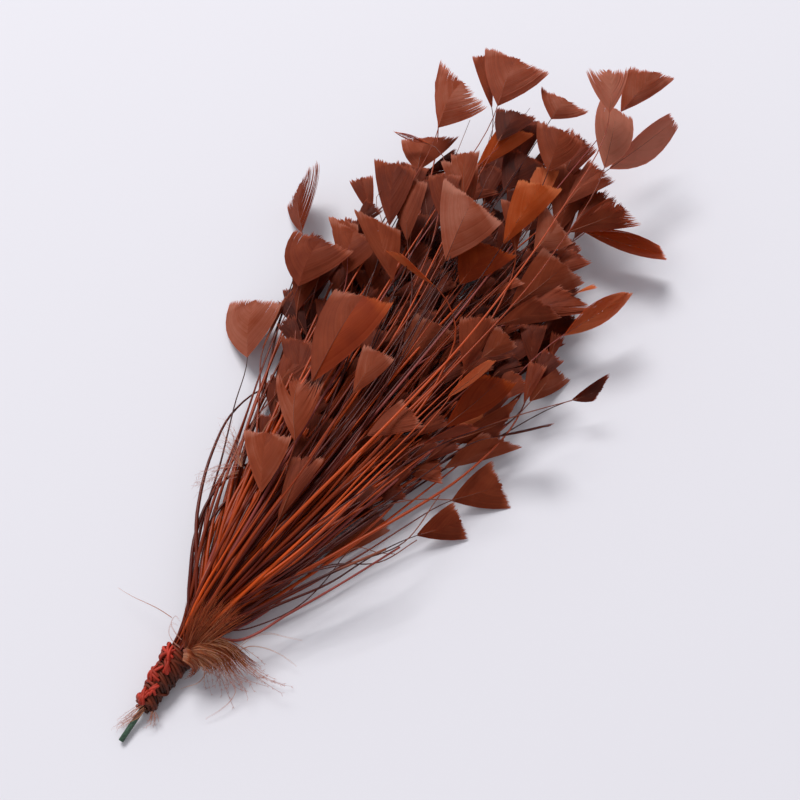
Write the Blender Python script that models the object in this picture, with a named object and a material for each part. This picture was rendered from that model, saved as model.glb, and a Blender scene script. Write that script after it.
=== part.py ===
"""A spray of trimmed goose feathers: stripped quills with a small cut vane left at each tip, bound
with thread on a short wire. It lies on its side on the floor, z = 0. The wire's end points along
-Y and the feathers fan out along +Y. Metres."""

import math
import random
from itertools import product

import bmesh
import bpy
from mathutils import Vector
from mathutils.bvhtree import BVHTree

CM = 0.01
MM = 0.001

# Handle: a straight line that leaves the wire's tip and rises to the binding's mouth
WIRE_TIP = Vector((0.0, 0.0, 3.0 * MM))
HANDLE_BEARING = math.radians(4.0)
HANDLE_RISE = math.radians(6.5)
WIRE_RADIUS = 1.0 * MM
WIRE_END = 38.0 * MM
WIRE_CHAMFER = 0.25 * MM
WIRE_SIDES = 12

# Binding: a tapered sleeve of thread, its lowest line pressed flat on the floor
BINDING_START = 12.0 * MM
BINDING_MOUTH = 40.0 * MM
BINDING_START_RADIUS = 4.6 * MM
BINDING_MOUTH_RADIUS = 7.7 * MM
BINDING_WALL = 0.5 * MM
BINDING_CHOKE_END = 1.5 * MM
BINDING_FULL_BORE_FROM = 5.0 * MM
BINDING_RIDGES = 3
RIDGE_HEIGHT = 0.4 * MM
LUMP_HEIGHT = 0.2 * MM
LUMP_SEED = 7
BINDING_SIDES = 24
BINDING_ROWS = 15
PRESSED_WITHIN = math.radians(20.0)

# Quills: packed in a honeycomb round the wire, with pointed roots that lean towards one spot this
# far behind the binding's mouth, and thickest a little way out of it
QUILL_PITCH = 1.35 * MM
SLOTS_FOR_WIRE = 7
QUILLS_CONVERGE = 60.0 * MM
ROOT_DEPTH = 22.0 * MM
ROOT_STAGGER = 16.0 * MM
QUILL_ROOT_RADIUS = 0.25 * MM
QUILL_MOUTH_RADIUS = 0.42 * MM
QUILL_BELLY_RADIUS = 0.95 * MM
QUILL_APEX_RADIUS = 0.55 * MM
RACHIS_TIP_RADIUS = 0.3 * MM
QUILL_BELLY_AT = 0.2
QUILL_STATIONS = (0.0, 0.09, 0.22, 0.4, 0.6, 0.8, 1.0)
FAN_EARLY = 0.3

# Vanes
VANE_STATIONS = (0.28, 0.56, 0.8, 1.0)
VANE_CAMBER = 0.09
RACHIS_ARCH = 0.054
EDGE_BULGE = 0.07
TIP_RISE = 0.04

CLEARANCE = 0.36 * MM

# Where the layout below is seen from. A head that stands higher keeps its place in this view
VIEWPOINT = Vector((11.84, -1.50, 34.7)) * CM

# Each feather's head, in the order they are laid down: where the lowest barbs begin, the cut
# edge's left corner and its right one, each as centimetres (along, right, up). Along and right
# are read on the floor, as seen from the viewpoint, and up is the real height
HEADS = (
    # The ones the spray lies on
    ((29.2, 1.0, 0.9), (32.6, -0.6, 0.0), (32.8, 2.2, 0.0)),
    ((23.4, -6.2, 1.3), (24.5, -7.7, 0.0), (28.0, -8.0, 2.0)),
    ((19.6, 7.4, 0.8), (22.1, 6.7, 1.5), (21.4, 8.6, 0.0)),
    ((13.8, 6.4, 0.7), (16.2, 7.1, 1.2), (14.6, 8.7, 0.0)),
    ((11.8, 5.8, 0.7), (13.8, 6.5, 1.1), (12.6, 7.7, 0.1)),
    ((16.0, -4.7, 1.0), (18.3, -7.1, 0.1), (19.4, -4.9, 1.7)),
    ((26.6, -2.2, 1.1), (29.8, -3.9, 0.2), (30.2, -1.2, 0.1)),
    # Low ones on the right
    ((20.5, 9.0, 1.5), (22.6, 10.0, 2.4), (20.9, 9.9, 1.2)),
    ((15.0, 5.5, 1.2), (17.3, 6.2, 2.0), (17.4, 8.0, 0.9)),
    ((17.1, 6.5, 1.8), (19.1, 8.7, 2.6), (18.8, 8.6, 1.8)),
    ((29.7, 5.8, 1.6), (31.2, 9.3, 2.6), (29.6, 10.2, 1.0)),
    ((25.6, 5.0, 1.6), (28.4, 5.4, 2.4), (28.0, 7.0, 1.2)),
    ((16.2, 5.1, 1.9), (19.5, 6.9, 2.4), (17.2, 6.9, 1.3)),
    # Deep in the fan
    ((11.2, 0.0, 1.4), (13.7, -0.7, 1.7), (13.6, 1.0, 1.6)),
    ((18.6, 1.6, 1.8), (21.6, 0.9, 2.6), (21.4, 3.2, 2.2)),
    ((29.6, -3.0, 2.2), (31.2, -4.8, 1.8), (32.8, -2.2, 2.8)),
    ((31.6, -3.2, 2.4), (31.2, -5.5, 1.9), (31.9, -5.3, 2.4)),
    ((28.9, 4.9, 2.2), (33.4, 2.8, 3.2), (33.6, 5.3, 2.8)),
    ((32.6, 2.9, 2.8), (35.8, 1.0, 3.6), (35.5, 3.7, 3.2)),
    # Left of the middle
    ((22.6, -3.0, 2.0), (24.9, -5.6, 1.9), (25.1, -4.0, 2.4)),
    ((22.2, -3.0, 2.8), (24.9, -5.4, 2.8), (24.4, -2.5, 3.5)),
    ((20.5, -4.7, 2.5), (23.4, -6.6, 2.4), (23.5, -3.4, 3.5)),
    ((25.7, -2.6, 2.8), (29.4, -5.4, 3.0), (29.7, -3.1, 3.6)),
    ((22.8, -0.9, 3.2), (25.9, -4.7, 3.3), (25.7, -2.0, 4.1)),
    # Right of the middle
    ((23.5, 7.4, 2.0), (26.1, 7.5, 3.2), (27.2, 9.3, 2.4)),
    ((29.3, 5.3, 2.4), (32.4, 6.2, 3.4), (31.4, 8.2, 2.2)),
    ((23.8, 4.6, 2.4), (27.9, 4.6, 3.7), (26.8, 7.2, 2.2)),
    ((22.7, 4.5, 2.9), (25.0, 5.4, 3.4), (24.4, 7.0, 2.4)),
    ((16.8, 4.7, 2.6), (20.0, 5.1, 3.4), (20.2, 6.5, 2.7)),
    ((20.7, 4.6, 2.9), (22.7, 4.5, 3.7), (22.0, 5.8, 3.0)),
    ((15.6, 4.2, 2.7), (17.4, 5.3, 3.4), (17.4, 6.0, 2.8)),
    ((19.8, 4.2, 3.0), (22.3, 2.8, 3.8), (23.1, 4.4, 3.4)),
    ((18.1, 4.1, 3.4), (20.4, 4.5, 4.2), (21.0, 5.2, 3.5)),
    ((24.0, 2.0, 3.2), (26.8, 0.8, 4.0), (26.8, 3.7, 3.5)),
    ((27.4, 4.3, 3.4), (30.0, 4.5, 4.3), (28.8, 6.0, 3.3)),
    # The far end
    ((30.4, 1.4, 3.2), (33.3, 0.3, 3.8), (33.0, 2.7, 3.6)),
    ((35.5, -1.5, 3.5), (38.8, -4.2, 4.0), (39.4, -3.3, 4.4)),
    ((32.9, -3.4, 3.8), (37.8, -5.7, 4.3), (35.4, -1.7, 5.0)),
    ((34.2, 5.6, 3.2), (39.4, 7.1, 4.0), (37.4, 7.6, 3.0)),
    ((33.4, -0.2, 3.7), (35.7, -1.3, 4.0), (36.0, 0.9, 4.0)),
    ((27.4, -0.7, 4.4), (29.6, -2.4, 4.8), (30.4, -0.9, 5.2)),
    ((28.3, 0.5, 3.8), (30.8, -2.3, 4.2), (31.5, -0.5, 4.6)),
    ((29.2, -0.2, 4.5), (31.4, -2.0, 4.9), (32.4, -0.8, 5.4)),
    ((27.2, 2.8, 4.0), (31.4, 1.8, 5.0), (31.8, 4.0, 4.6)),
    ((31.2, -0.4, 4.6), (34.4, -0.6, 5.3), (34.8, 1.3, 4.8)),
    ((36.2, 1.6, 4.3), (38.2, 0.2, 4.8), (37.6, 3.2, 4.4)),
    ((34.1, 5.4, 4.6), (38.7, 3.4, 5.4), (38.2, 5.4, 4.7)),
    ((38.4, 4.7, 4.6), (42.0, 3.9, 5.4), (42.3, 6.5, 4.6)),
    ((38.0, 4.2, 5.1), (40.1, 2.2, 5.8), (41.4, 4.1, 5.4)),
    ((35.8, -1.3, 5.0), (39.9, -3.9, 5.4), (39.5, 0.2, 5.8)),
    # Near ones, on top of the quills of the rest
    ((25.0, 0.8, 4.2), (29.8, -1.6, 5.2), (28.4, 2.2, 4.8)),
    ((16.2, -1.5, 3.2), (21.1, -3.1, 3.9), (21.6, -0.3, 4.5)),
    ((16.5, 0.4, 3.2), (19.0, -0.4, 3.9), (18.9, 1.2, 3.8)),
    ((14.9, 1.9, 2.8), (17.2, 2.4, 3.6), (16.4, 3.9, 2.7)),
    ((13.3, -0.7, 2.7), (15.7, -3.2, 2.4), (16.3, -0.9, 3.3)),
    ((10.6, -0.7, 2.0), (12.8, -2.9, 1.8), (13.4, -0.9, 2.5)),
    ((8.9, 2.9, 0.5), (12.1, 3.9, 0.8), (11.5, 4.8, 0.3)),
)

# What a feather may try, to find a clear place: its head raised, its quill bowed up or swayed to
# the right in its middle, and its head tilted, the left corner up and the right one down
LIFTS = [step * 1.5 * MM for step in range(-4, 15)]
BOWS = [step * 1.0 * MM for step in range(-10, 14)]
SWAYS = [step * 1.5 * MM for step in range(-5, 6)]
TILTS = [step * 4.0 * MM for step in range(-1, 2)]

# Down plume: a fluffy curl that leaves the binding's mouth and falls to the right. Each row is
# centimetres (along the handle, right of it, up from it), then the half width there
PLUME_ROOT_LEAN = (0.6, 0.8)
PLUME_STEM_SHOWS = 1.0 * MM
PLUME_CURL = (
    ((4.45, 0.75, 0.90), 0.14),
    ((4.55, 1.30, 1.00), 0.30),
    ((4.25, 1.90, 0.72), 0.42),
    ((3.80, 2.35, 0.24), 0.40),
    ((3.30, 2.60, -0.12), 0.26),
    ((2.90, 2.85, -0.32), 0.10),
)
PLUME_THICKNESS = 0.36

FEATHER_BROWN = (0.20, 0.045, 0.022)
THREAD_RED = (0.16, 0.010, 0.006)
WIRE_GREEN = (0.025, 0.062, 0.038)
DOWN_ORANGE = (0.26, 0.075, 0.03)


def clear_scene():
    for obj in list(bpy.data.objects):
        bpy.data.objects.remove(obj)


def plain_material(name, colour, roughness):
    """A non-metal of one colour, given as linear red, green and blue."""
    made = bpy.data.materials.new(name)
    made.use_nodes = True
    shader = made.node_tree.nodes["Principled BSDF"]
    shader.inputs["Base Color"].default_value = (*colour, 1.0)
    shader.inputs["Roughness"].default_value = roughness
    return made


def add_object(name, vertices, faces, finish, smooth=False):
    """A named mesh object with its faces turned outwards."""
    mesh = bpy.data.meshes.new(name)
    mesh.from_pydata([tuple(v) for v in vertices], [], faces)
    work = bmesh.new()
    work.from_mesh(mesh)
    bmesh.ops.recalc_face_normals(work, faces=work.faces)
    work.to_mesh(mesh)
    work.free()
    mesh.materials.append(finish)
    if smooth:
        mesh.shade_smooth()
    else:
        mesh.shade_flat()
    obj = bpy.data.objects.new(name, mesh)
    bpy.context.scene.collection.objects.link(obj)
    return obj


def loft(rings):
    """The vertices and faces of a closed skin through rings that have equal numbers of points."""
    count = len(rings[0])
    vertices = [point for ring in rings for point in ring]
    faces = []
    for start in range(0, len(vertices) - count, count):
        for k in range(count):
            following = (k + 1) % count
            faces.append((start + k, start + following, start + count + following, start + count + k))
    faces.append(tuple(reversed(range(count))))
    faces.append(tuple(range(len(vertices) - count, len(vertices))))
    return vertices, faces


def handle_axes():
    """The handle's own directions: along it, to its right and up from it."""
    along = Vector((
        math.sin(HANDLE_BEARING) * math.cos(HANDLE_RISE),
        math.cos(HANDLE_BEARING) * math.cos(HANDLE_RISE),
        math.sin(HANDLE_RISE),
    ))
    right = Vector((math.cos(HANDLE_BEARING), -math.sin(HANDLE_BEARING), 0.0))
    return along, right, right.cross(along)


def on_handle(distance, right=0.0, up=0.0):
    """The point this far from the wire's tip and beside the handle's middle line."""
    axes = handle_axes()
    return WIRE_TIP + axes[0] * distance + axes[1] * right + axes[2] * up


def binding_radius(distance):
    share = (distance - BINDING_START) / (BINDING_MOUTH - BINDING_START)
    return BINDING_START_RADIUS + (BINDING_MOUTH_RADIUS - BINDING_START_RADIUS) * share


def make_wire(finish):
    """A straight round wire from its tip to just inside the binding's mouth."""
    stations = (
        (0.0, WIRE_RADIUS - WIRE_CHAMFER),
        (WIRE_CHAMFER, WIRE_RADIUS),
        (WIRE_END - WIRE_CHAMFER, WIRE_RADIUS),
        (WIRE_END, WIRE_RADIUS - WIRE_CHAMFER),
    )
    turns = [math.tau * k / WIRE_SIDES for k in range(WIRE_SIDES)]
    rings = [
        [on_handle(distance, radius * math.cos(a), radius * math.sin(a)) for a in turns]
        for distance, radius in stations
    ]
    return add_object("stem_wire", *loft(rings), finish, smooth=True)


def make_binding(finish):
    """A sleeve with a lumpy, ridged outside: round the wire at one end, open round the quills at
    the other. What would reach below the floor is pressed flat on it."""
    chance = random.Random(LUMP_SEED)
    turns = [math.tau * k / BINDING_SIDES for k in range(BINDING_SIDES)]
    outer = []
    for row in range(BINDING_ROWS):
        share = row / (BINDING_ROWS - 1)
        distance = BINDING_START + (BINDING_MOUTH - BINDING_START) * share
        ridge = RIDGE_HEIGHT * math.cos(math.tau * BINDING_RIDGES * share)
        ring = []
        for a in turns:
            radius = binding_radius(distance) + ridge * math.cos(a) ** 2
            radius += chance.uniform(-LUMP_HEIGHT, LUMP_HEIGHT)
            point = on_handle(distance, radius * math.cos(a), radius * math.sin(a))
            pressed = abs(a - 1.5 * math.pi) < PRESSED_WITHIN
            point.z = 0.0 if pressed else max(point.z, 0.0)
            ring.append(point)
        outer.append(ring)
    choke = WIRE_RADIUS + CLEARANCE
    full_bore_from = BINDING_START + BINDING_FULL_BORE_FROM
    inset = BINDING_WALL + RIDGE_HEIGHT
    inner_profile = (
        (BINDING_MOUTH, binding_radius(BINDING_MOUTH) - inset),
        (full_bore_from, binding_radius(full_bore_from) - inset),
        (BINDING_START + BINDING_CHOKE_END, choke),
        (BINDING_START, choke),
    )
    inner = [
        [on_handle(distance, radius * math.cos(a), radius * math.sin(a)) for a in turns]
        for distance, radius in inner_profile
    ]
    rings = outer + inner
    vertices, faces = loft(rings + rings[:1])
    count = BINDING_SIDES * len(rings)
    faces = [tuple(index % count for index in face) for face in faces[:-2]]
    return add_object("thread_binding", vertices[:count], faces, finish, smooth=True)


def make_plume(finish, slot):
    """A flattened curl of down, each station a four-cornered ring across its route. Its own thin
    quill is held in the binding like the others."""
    middles = [on_handle(WIRE_END, *slot), on_handle(BINDING_MOUTH + PLUME_STEM_SHOWS, *slot)]
    half_widths = [QUILL_ROOT_RADIUS, QUILL_MOUTH_RADIUS]
    for place, half_width in PLUME_CURL:
        middles.append(on_handle(*(part * CM for part in place)))
        half_widths.append(half_width * CM)
    rings = []
    for k, (middle, half_width) in enumerate(zip(middles, half_widths)):
        before = middles[max(k - 1, 0)]
        after = middles[min(k + 1, len(middles) - 1)]
        forward = (after - before).normalized()
        side = forward.cross(Vector((0.0, 0.0, 1.0))).normalized()
        wide = side * half_width
        thick = side.cross(forward) * max(half_width * PLUME_THICKNESS, QUILL_ROOT_RADIUS)
        rings.append([middle - wide, middle + thick, middle + wide, middle - thick])
    for ring in rings:
        for point in ring:
            point.z = max(point.z, 0.0)
    return add_object("down_plume", *loft(rings), finish)


def seen_at(along, right, up):
    """The real place of a point that is seen over this spot on the floor and stands this high.
    It lies on the line of sight: floor + (viewpoint - floor) * height / viewpoint's height."""
    floor = Vector((right * CM, along * CM, 0.0))
    return floor + (VIEWPOINT - floor) * (up * CM / VIEWPOINT.z)


def root_slots():
    """Places for the quills across the binding's mouth, (right, up) in metres, nearest the wire
    first: a honeycomb whose middle is left to the wire. One is for the plume, the last returned."""
    reach = range(-6, 7)
    rise = QUILL_PITCH * math.sqrt(0.75)
    spots = [(QUILL_PITCH * (i + 0.5 * (j % 2)), rise * j) for i in reach for j in reach]
    spots.sort(key=lambda spot: round(math.hypot(*spot), 6))
    slots = spots[SLOTS_FOR_WIRE : SLOTS_FOR_WIRE + len(HEADS) + 1]
    slots.sort(key=lambda slot: slot[0] * PLUME_ROOT_LEAN[0] + slot[1] * PLUME_ROOT_LEAN[1])
    return slots


def lean(head):
    """Which way a head lies from the binding's mouth: its slopes to the right of the handle's line
    and up from it."""
    way = seen_at(*head[0]) - on_handle(BINDING_MOUTH)
    along, right, up = (way.dot(axis) for axis in handle_axes())
    return Vector((right / along, up / along))


def give_slots(heads, slots):
    """A slot for each head, such that the quills spread without crossing. Two heads swap slots
    while one slot lies the other way from its neighbour than the heads lean from each other."""
    leans = [lean(head) for head in heads]
    given = [Vector(slot) for slot in slots]
    swapped = True
    while swapped:
        swapped = False
        for i in range(len(given)):
            for j in range(i):
                if (given[i] - given[j]).dot(leans[i] - leans[j]) < -1e-12:
                    given[i], given[j] = given[j], given[i]
                    swapped = True
    return given


def quill_radius(share):
    """Thin at the root, thickest at the belly, thin again where the barbs begin."""
    if share < QUILL_BELLY_AT:
        grown = math.sin(0.5 * math.pi * share / QUILL_BELLY_AT)
        return QUILL_MOUTH_RADIUS + (QUILL_BELLY_RADIUS - QUILL_MOUTH_RADIUS) * grown
    left = (share - QUILL_BELLY_AT) / (1 - QUILL_BELLY_AT)
    return QUILL_BELLY_RADIUS + (QUILL_APEX_RADIUS - QUILL_BELLY_RADIUS) * left


def diamond(middle, forward, side, radius):
    """A four-cornered ring across a quill: left, top, right, bottom."""
    side = (side - forward * side.dot(forward)).normalized() * radius
    over = side.cross(forward)
    return [middle - side, middle + over, middle + side, middle - over]


def feather_rings(head, slot, lift, bow, sway, tilt):
    """The rings of one feather from root to cut edge. The quill follows a cubic from the binding's
    mouth to the first barbs, pushed up by bow and to the right by sway in its middle."""
    raised = (lift, lift + tilt, lift - tilt)
    places = zip(head, raised)
    apex, left, right = (seen_at(along, aside, up + more / CM) for (along, aside, up), more in places)
    middle = (left + right) / 2
    axis = (middle - apex).normalized()
    across = right - left
    across -= axis * across.dot(axis)
    side = across.normalized()
    normal = side.cross(axis)
    handle, handle_right, _ = handle_axes()

    depth = ROOT_DEPTH - ROOT_STAGGER * slot.length / BINDING_MOUTH_RADIUS
    root = on_handle(BINDING_MOUTH - depth, *(slot * (1 - depth / QUILLS_CONVERGE)))
    start = on_handle(BINDING_MOUTH, *slot)
    chord = apex - start
    way = chord.normalized()
    leaving = (way + (way - handle) * FAN_EARLY).normalized() * chord.length
    arriving = (way + axis).normalized() * chord.length
    rings = [diamond(root, handle, handle_right, QUILL_ROOT_RADIUS)]
    for t in QUILL_STATIONS:
        place = start * (2 * t**3 - 3 * t**2 + 1) + apex * (3 * t**2 - 2 * t**3)
        place += leaving * (t**3 - 2 * t**2 + t) + arriving * (t**3 - t**2)
        hump = math.sin(math.pi * t) ** 2
        place += Vector((sway, 0.0, bow)) * hump
        forward = way.lerp(axis, t * t).normalized()
        rings.append(diamond(place, forward, handle_right.lerp(side, t), quill_radius(t)))

    width = across.length
    end = middle + normal * (VANE_CAMBER * width) + axis * (TIP_RISE * width)
    for s in VANE_STATIONS:
        rachis = apex.lerp(end, s) + normal * (RACHIS_ARCH * width * math.sin(math.pi * s))
        bulge = side * (EDGE_BULGE * width * math.sin(math.pi * s))
        half = normal * (QUILL_APEX_RADIUS + (RACHIS_TIP_RADIUS - QUILL_APEX_RADIUS) * s)
        edges = (apex.lerp(left, s) - bulge, apex.lerp(right, s) + bulge)
        rings.append([edges[0], rachis + half, edges[1], rachis - half])
    return rings


def swollen(rings, by):
    """The same rings with every point moved away from its ring's middle by this much."""
    grown = []
    for ring in rings:
        middle = sum(ring, Vector()) / len(ring)
        grown.append([point + (point - middle).normalized() * by for point in ring])
    return grown


def triangles(vertices, faces, start=0):
    """The faces as triangles, their indices counted from start."""
    found = []
    for face in faces:
        for k in range(1, len(face) - 1):
            found.append((start + face[0], start + face[k], start + face[k + 1]))
    return list(vertices), found


def changes():
    """Every (lift, bow, sway, tilt) that a feather may try, the least change first."""
    return sorted(product(LIFTS, BOWS, SWAYS, TILTS), key=lambda change: sum(map(abs, change)))


def settle_feathers(slots, others):
    """The rings of every feather. Each is laid in turn on the ones before it, with the least change
    that keeps it clear of them and above the floor."""
    points = []
    skins = []
    for obj in others:
        faces = [tuple(polygon.vertices) for polygon in obj.data.polygons]
        more = triangles([vertex.co.copy() for vertex in obj.data.vertices], faces, len(points))
        points += more[0]
        skins += more[1]
    tries = changes()
    settled = []
    for number, (head, slot) in enumerate(zip(HEADS, give_slots(HEADS, slots)), 1):
        tree = BVHTree.FromPolygons(points, skins)
        for change in tries:
            rings = feather_rings(head, slot, *change)
            if min(point.z for ring in rings for point in ring) < -1e-7:
                continue
            vertices, faces = loft(swollen(rings, CLEARANCE))
            if not tree.overlap(BVHTree.FromPolygons(*triangles(vertices, faces))):
                break
        else:
            raise ValueError(f"feather {number} has no clear place")
        more = triangles(*loft(rings), len(points))
        points += more[0]
        skins += more[1]
        settled.append(rings)
    return settled


def centre_on_floor(objects):
    """Moves everything so that the middle of its footprint is over the origin."""
    corners = [vertex.co for obj in objects for vertex in obj.data.vertices]
    low_x = min(corner.x for corner in corners)
    high_x = max(corner.x for corner in corners)
    low_y = min(corner.y for corner in corners)
    high_y = max(corner.y for corner in corners)
    for obj in objects:
        obj.location = (-(low_x + high_x) / 2, -(low_y + high_y) / 2, 0.0)


def main():
    clear_scene()
    feather = plain_material("dyed goose feather", FEATHER_BROWN, 0.5)
    thread = plain_material("dark red thread", THREAD_RED, 0.6)
    wire = plain_material("green coated wire", WIRE_GREEN, 0.45)
    down = plain_material("orange brown down", DOWN_ORANGE, 0.8)
    *slots, plume_slot = root_slots()
    objects = [make_wire(wire), make_binding(thread), make_plume(down, plume_slot)]
    for number, rings in enumerate(settle_feathers(slots, objects), 1):
        objects.append(add_object(f"feather_{number:02d}", *loft(rings), feather))
    centre_on_floor(objects)


main()
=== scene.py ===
# %% [markdown]
# A spray of trimmed goose feathers
#
# Each feather in this spray has been stripped to its bare quill, with a small vane left at the tip
# and cut off there. The quills are dyed a rusty red, bound with thread round a short green wire, and
# the spray lies on its side. The solid model gives every feather's place. This lesson dresses it:
# it reads where each feather runs, then builds round quills, vanes made of real barbs, wound
# thread and down.

# %% The frame
import math

import bpy
import numpy as np
from mathutils import Matrix, Vector


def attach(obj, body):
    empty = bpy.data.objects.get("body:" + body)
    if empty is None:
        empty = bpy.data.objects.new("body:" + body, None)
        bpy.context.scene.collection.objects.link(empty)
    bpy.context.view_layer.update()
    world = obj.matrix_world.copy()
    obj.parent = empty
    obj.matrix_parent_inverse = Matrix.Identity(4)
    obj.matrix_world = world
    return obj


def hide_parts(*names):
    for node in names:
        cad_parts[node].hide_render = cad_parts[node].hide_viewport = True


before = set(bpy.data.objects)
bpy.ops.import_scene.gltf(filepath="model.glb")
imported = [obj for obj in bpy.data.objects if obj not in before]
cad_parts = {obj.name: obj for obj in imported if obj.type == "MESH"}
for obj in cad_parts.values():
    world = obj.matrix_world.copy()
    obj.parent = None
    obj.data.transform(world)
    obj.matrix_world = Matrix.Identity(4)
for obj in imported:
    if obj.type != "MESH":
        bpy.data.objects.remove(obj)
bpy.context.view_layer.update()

MM = 0.001
CM = 0.01

# %% [markdown]
# Where things are
#
# Most places on this object are easiest to give along its handle: how far from the wire's tip, how
# far to the right, how far up. So the first thing to find is the handle's own three directions. The
# wire is straight, so its two ends are enough.

# %% The handle's directions
WIRE_SIDES = 12
BINDING_START = 12 * MM
BINDING_MOUTH = 40 * MM


def unit(vectors):
    """Each vector divided by its length."""
    return vectors / np.maximum(np.linalg.norm(vectors, axis=-1, keepdims=True), 1e-12)


def corners_of(node):
    """The places of a solid's corners, each once, and its triangles as indices of them."""
    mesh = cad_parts[node].data
    mesh.calc_loop_triangles()
    places = np.empty(len(mesh.vertices) * 3)
    mesh.vertices.foreach_get("co", places)
    faces = np.empty(len(mesh.loop_triangles) * 3, int)
    mesh.loop_triangles.foreach_get("vertices", faces)
    places, index = np.unique(np.round(places.reshape(-1, 3), 6), axis=0, return_inverse=True)
    return places, index.reshape(-1)[faces].reshape(-1, 3)


wire_corners = corners_of("stem_wire")[0]
wire_corners = wire_corners[np.argsort(wire_corners[:, 1])]
WIRE_TIP = wire_corners[:WIRE_SIDES].mean(axis=0)
HANDLE_ALONG = unit(wire_corners[-WIRE_SIDES:].mean(axis=0) - WIRE_TIP)
HANDLE_RIGHT = unit(np.cross(HANDLE_ALONG, (0.0, 0.0, 1.0)))
HANDLE_UP = np.cross(HANDLE_RIGHT, HANDLE_ALONG)


def on_handle(along, right=0.0, up=0.0):
    """Wire tip + along, right and up times the handle's directions. Takes numbers or arrays."""
    parts = zip((along, right, up), (HANDLE_ALONG, HANDLE_RIGHT, HANDLE_UP))
    return WIRE_TIP + sum(np.asarray(much)[..., None] * way for much, way in parts)


print("wire tip", WIRE_TIP.round(4), "handle runs", HANDLE_ALONG.round(3))

# %% [markdown]
# Drawn tight
#
# The solid quills stand clear of each other, so that the model can be checked, and their binding is
# wider for it. On the real spray the thread draws them tight. So what lies near the handle is drawn
# in towards its middle here and let down on the floor, and this fades out up the quills.

# %% Drawing in at the binding
DRAWN_IN = 0.74
LET_DOWN = 1.3 * MM
FADE_TO = 85 * MM


def drawn_tight(places):
    """Places with their offset from the handle's middle scaled, and lowered: by the full amount up
    to the binding's mouth, then less, as a smooth step down to nothing, 1 - t^2 (3 - 2 t)."""
    reach = (places - WIRE_TIP) @ HANDLE_ALONG
    t = np.clip((reach - BINDING_MOUTH) / (FADE_TO - BINDING_MOUTH), 0, 1)
    much = (1 - t * t * (3 - 2 * t))[..., None]
    middle = WIRE_TIP + reach[..., None] * HANDLE_ALONG
    drop = much * LET_DOWN * np.array([0, 0, 1])
    return middle + (places - middle) * (1 - (1 - DRAWN_IN) * much) - drop


fades = drawn_tight(on_handle(np.array([20, 60, 90]) * MM, 5 * MM)) - on_handle(0.0)
print("5 mm off the middle becomes", (fades @ HANDLE_RIGHT / MM).round(1), "at 20, 60 and 90 mm")

# %% [markdown]
# The camera
#
# The spray is seen from above at a slant, from in front of its handle. A camera could be placed by
# eye, but some feathers are placed by where they appear in the picture, so it comes first and its
# numbers are exact. A point is then the one on the line of sight through a pixel that stands at a
# chosen height above the floor.

# %% Camera
PICTURE = 800
LENS = 42.08
SENSOR = 36.0
TURN = math.radians(27.0)
LOOK_DOWN = math.radians(58.96)
CAMERA_AT = np.array([0.10566, -0.19837, 0.347])

forward = np.array([
    -math.sin(TURN) * math.cos(LOOK_DOWN),
    math.cos(TURN) * math.cos(LOOK_DOWN),
    -math.sin(LOOK_DOWN),
])
picture_right = np.array([math.cos(TURN), math.sin(TURN), 0.0])
picture_up = np.cross(picture_right, forward)

camera_data = bpy.data.cameras.new("camera")
camera_data.lens = LENS
camera_data.sensor_width = SENSOR
camera = bpy.data.objects.new("camera", camera_data)
bpy.context.scene.collection.objects.link(camera)
camera.matrix_world = Matrix(
    [[picture_right[k], picture_up[k], -forward[k], CAMERA_AT[k]] for k in range(3)]
    + [[0, 0, 0, 1]]
)
bpy.context.scene.camera = camera


def seen_at(pixels, height):
    """The points over these pixels, at this height: camera + sight line * (height - camera's
    height) / the line's fall. Pixels are (..., 2), height a number or an array in metres."""
    pixels = np.asarray(pixels, float)
    slopes = (pixels - PICTURE / 2) / PICTURE * SENSOR / LENS
    lines = forward + slopes[..., :1] * picture_right - slopes[..., 1:] * picture_up
    reach = (np.asarray(height) - CAMERA_AT[2]) / lines[..., 2]
    return CAMERA_AT + lines * reach[..., None]


print("camera at", CAMERA_AT, "and the picture's middle is over", seen_at([400, 400], 0.0).round(3))

# %% [markdown]
# Reading the feathers
#
# The solid of a feather is a skin through twelve rings of four corners: the root, seven along the
# quill, then four along the vane. Starting from the root and stepping along edges gives the rings
# back in order. In a vane's ring the two corners furthest apart are its edges, and the other two lie
# above and below its shaft.

# %% Rings of a solid feather
RINGS = 12
QUILL_RINGS = 8
RING_CORNERS = 4
FEATHER_NODES = sorted(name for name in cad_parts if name.startswith("feather_"))


def rings_of(node):
    """The corners of a feather's rings from root to cut edge, as (12, 4, 3)."""
    places, faces = corners_of(node)
    near = np.zeros((len(places), len(places)), bool)
    for a, b in ((0, 1), (1, 2), (2, 0)):
        near[faces[:, a], faces[:, b]] = near[faces[:, b], faces[:, a]] = True
    ring = np.argsort(places @ HANDLE_ALONG)[:RING_CORNERS]
    left = np.ones(len(places), bool)
    rings = []
    while len(ring):
        rings.append(places[ring])
        left[ring] = False
        ring = np.flatnonzero(near[ring].any(axis=0) & left)
    return np.array(rings)


print(FEATHER_NODES[0], "has rings", rings_of(FEATHER_NODES[0]).shape)

# %% [markdown]
# The solid quill keeps some thickness all the way up, so that it is a sound solid. A real one tapers
# to a hair at the vane's tip, so each ring keeps only a share of it. The solid's vane is also bent
# back at its cut edge, where its two corners and its shaft end apart. That bend is nearly taken out.

# %% Survey of the solid feathers
VISIBLE_QUILL = np.array([1, 1, 0.92, 0.78, 0.65, 0.54, 0.44, 0.35, 0.28, 0.23, 0.2, 0.18])
VANE_SHARES = np.linspace(0.25, 1, RINGS - QUILL_RINGS)[:, None]
CUT_FLATTEN = 0.85


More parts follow.
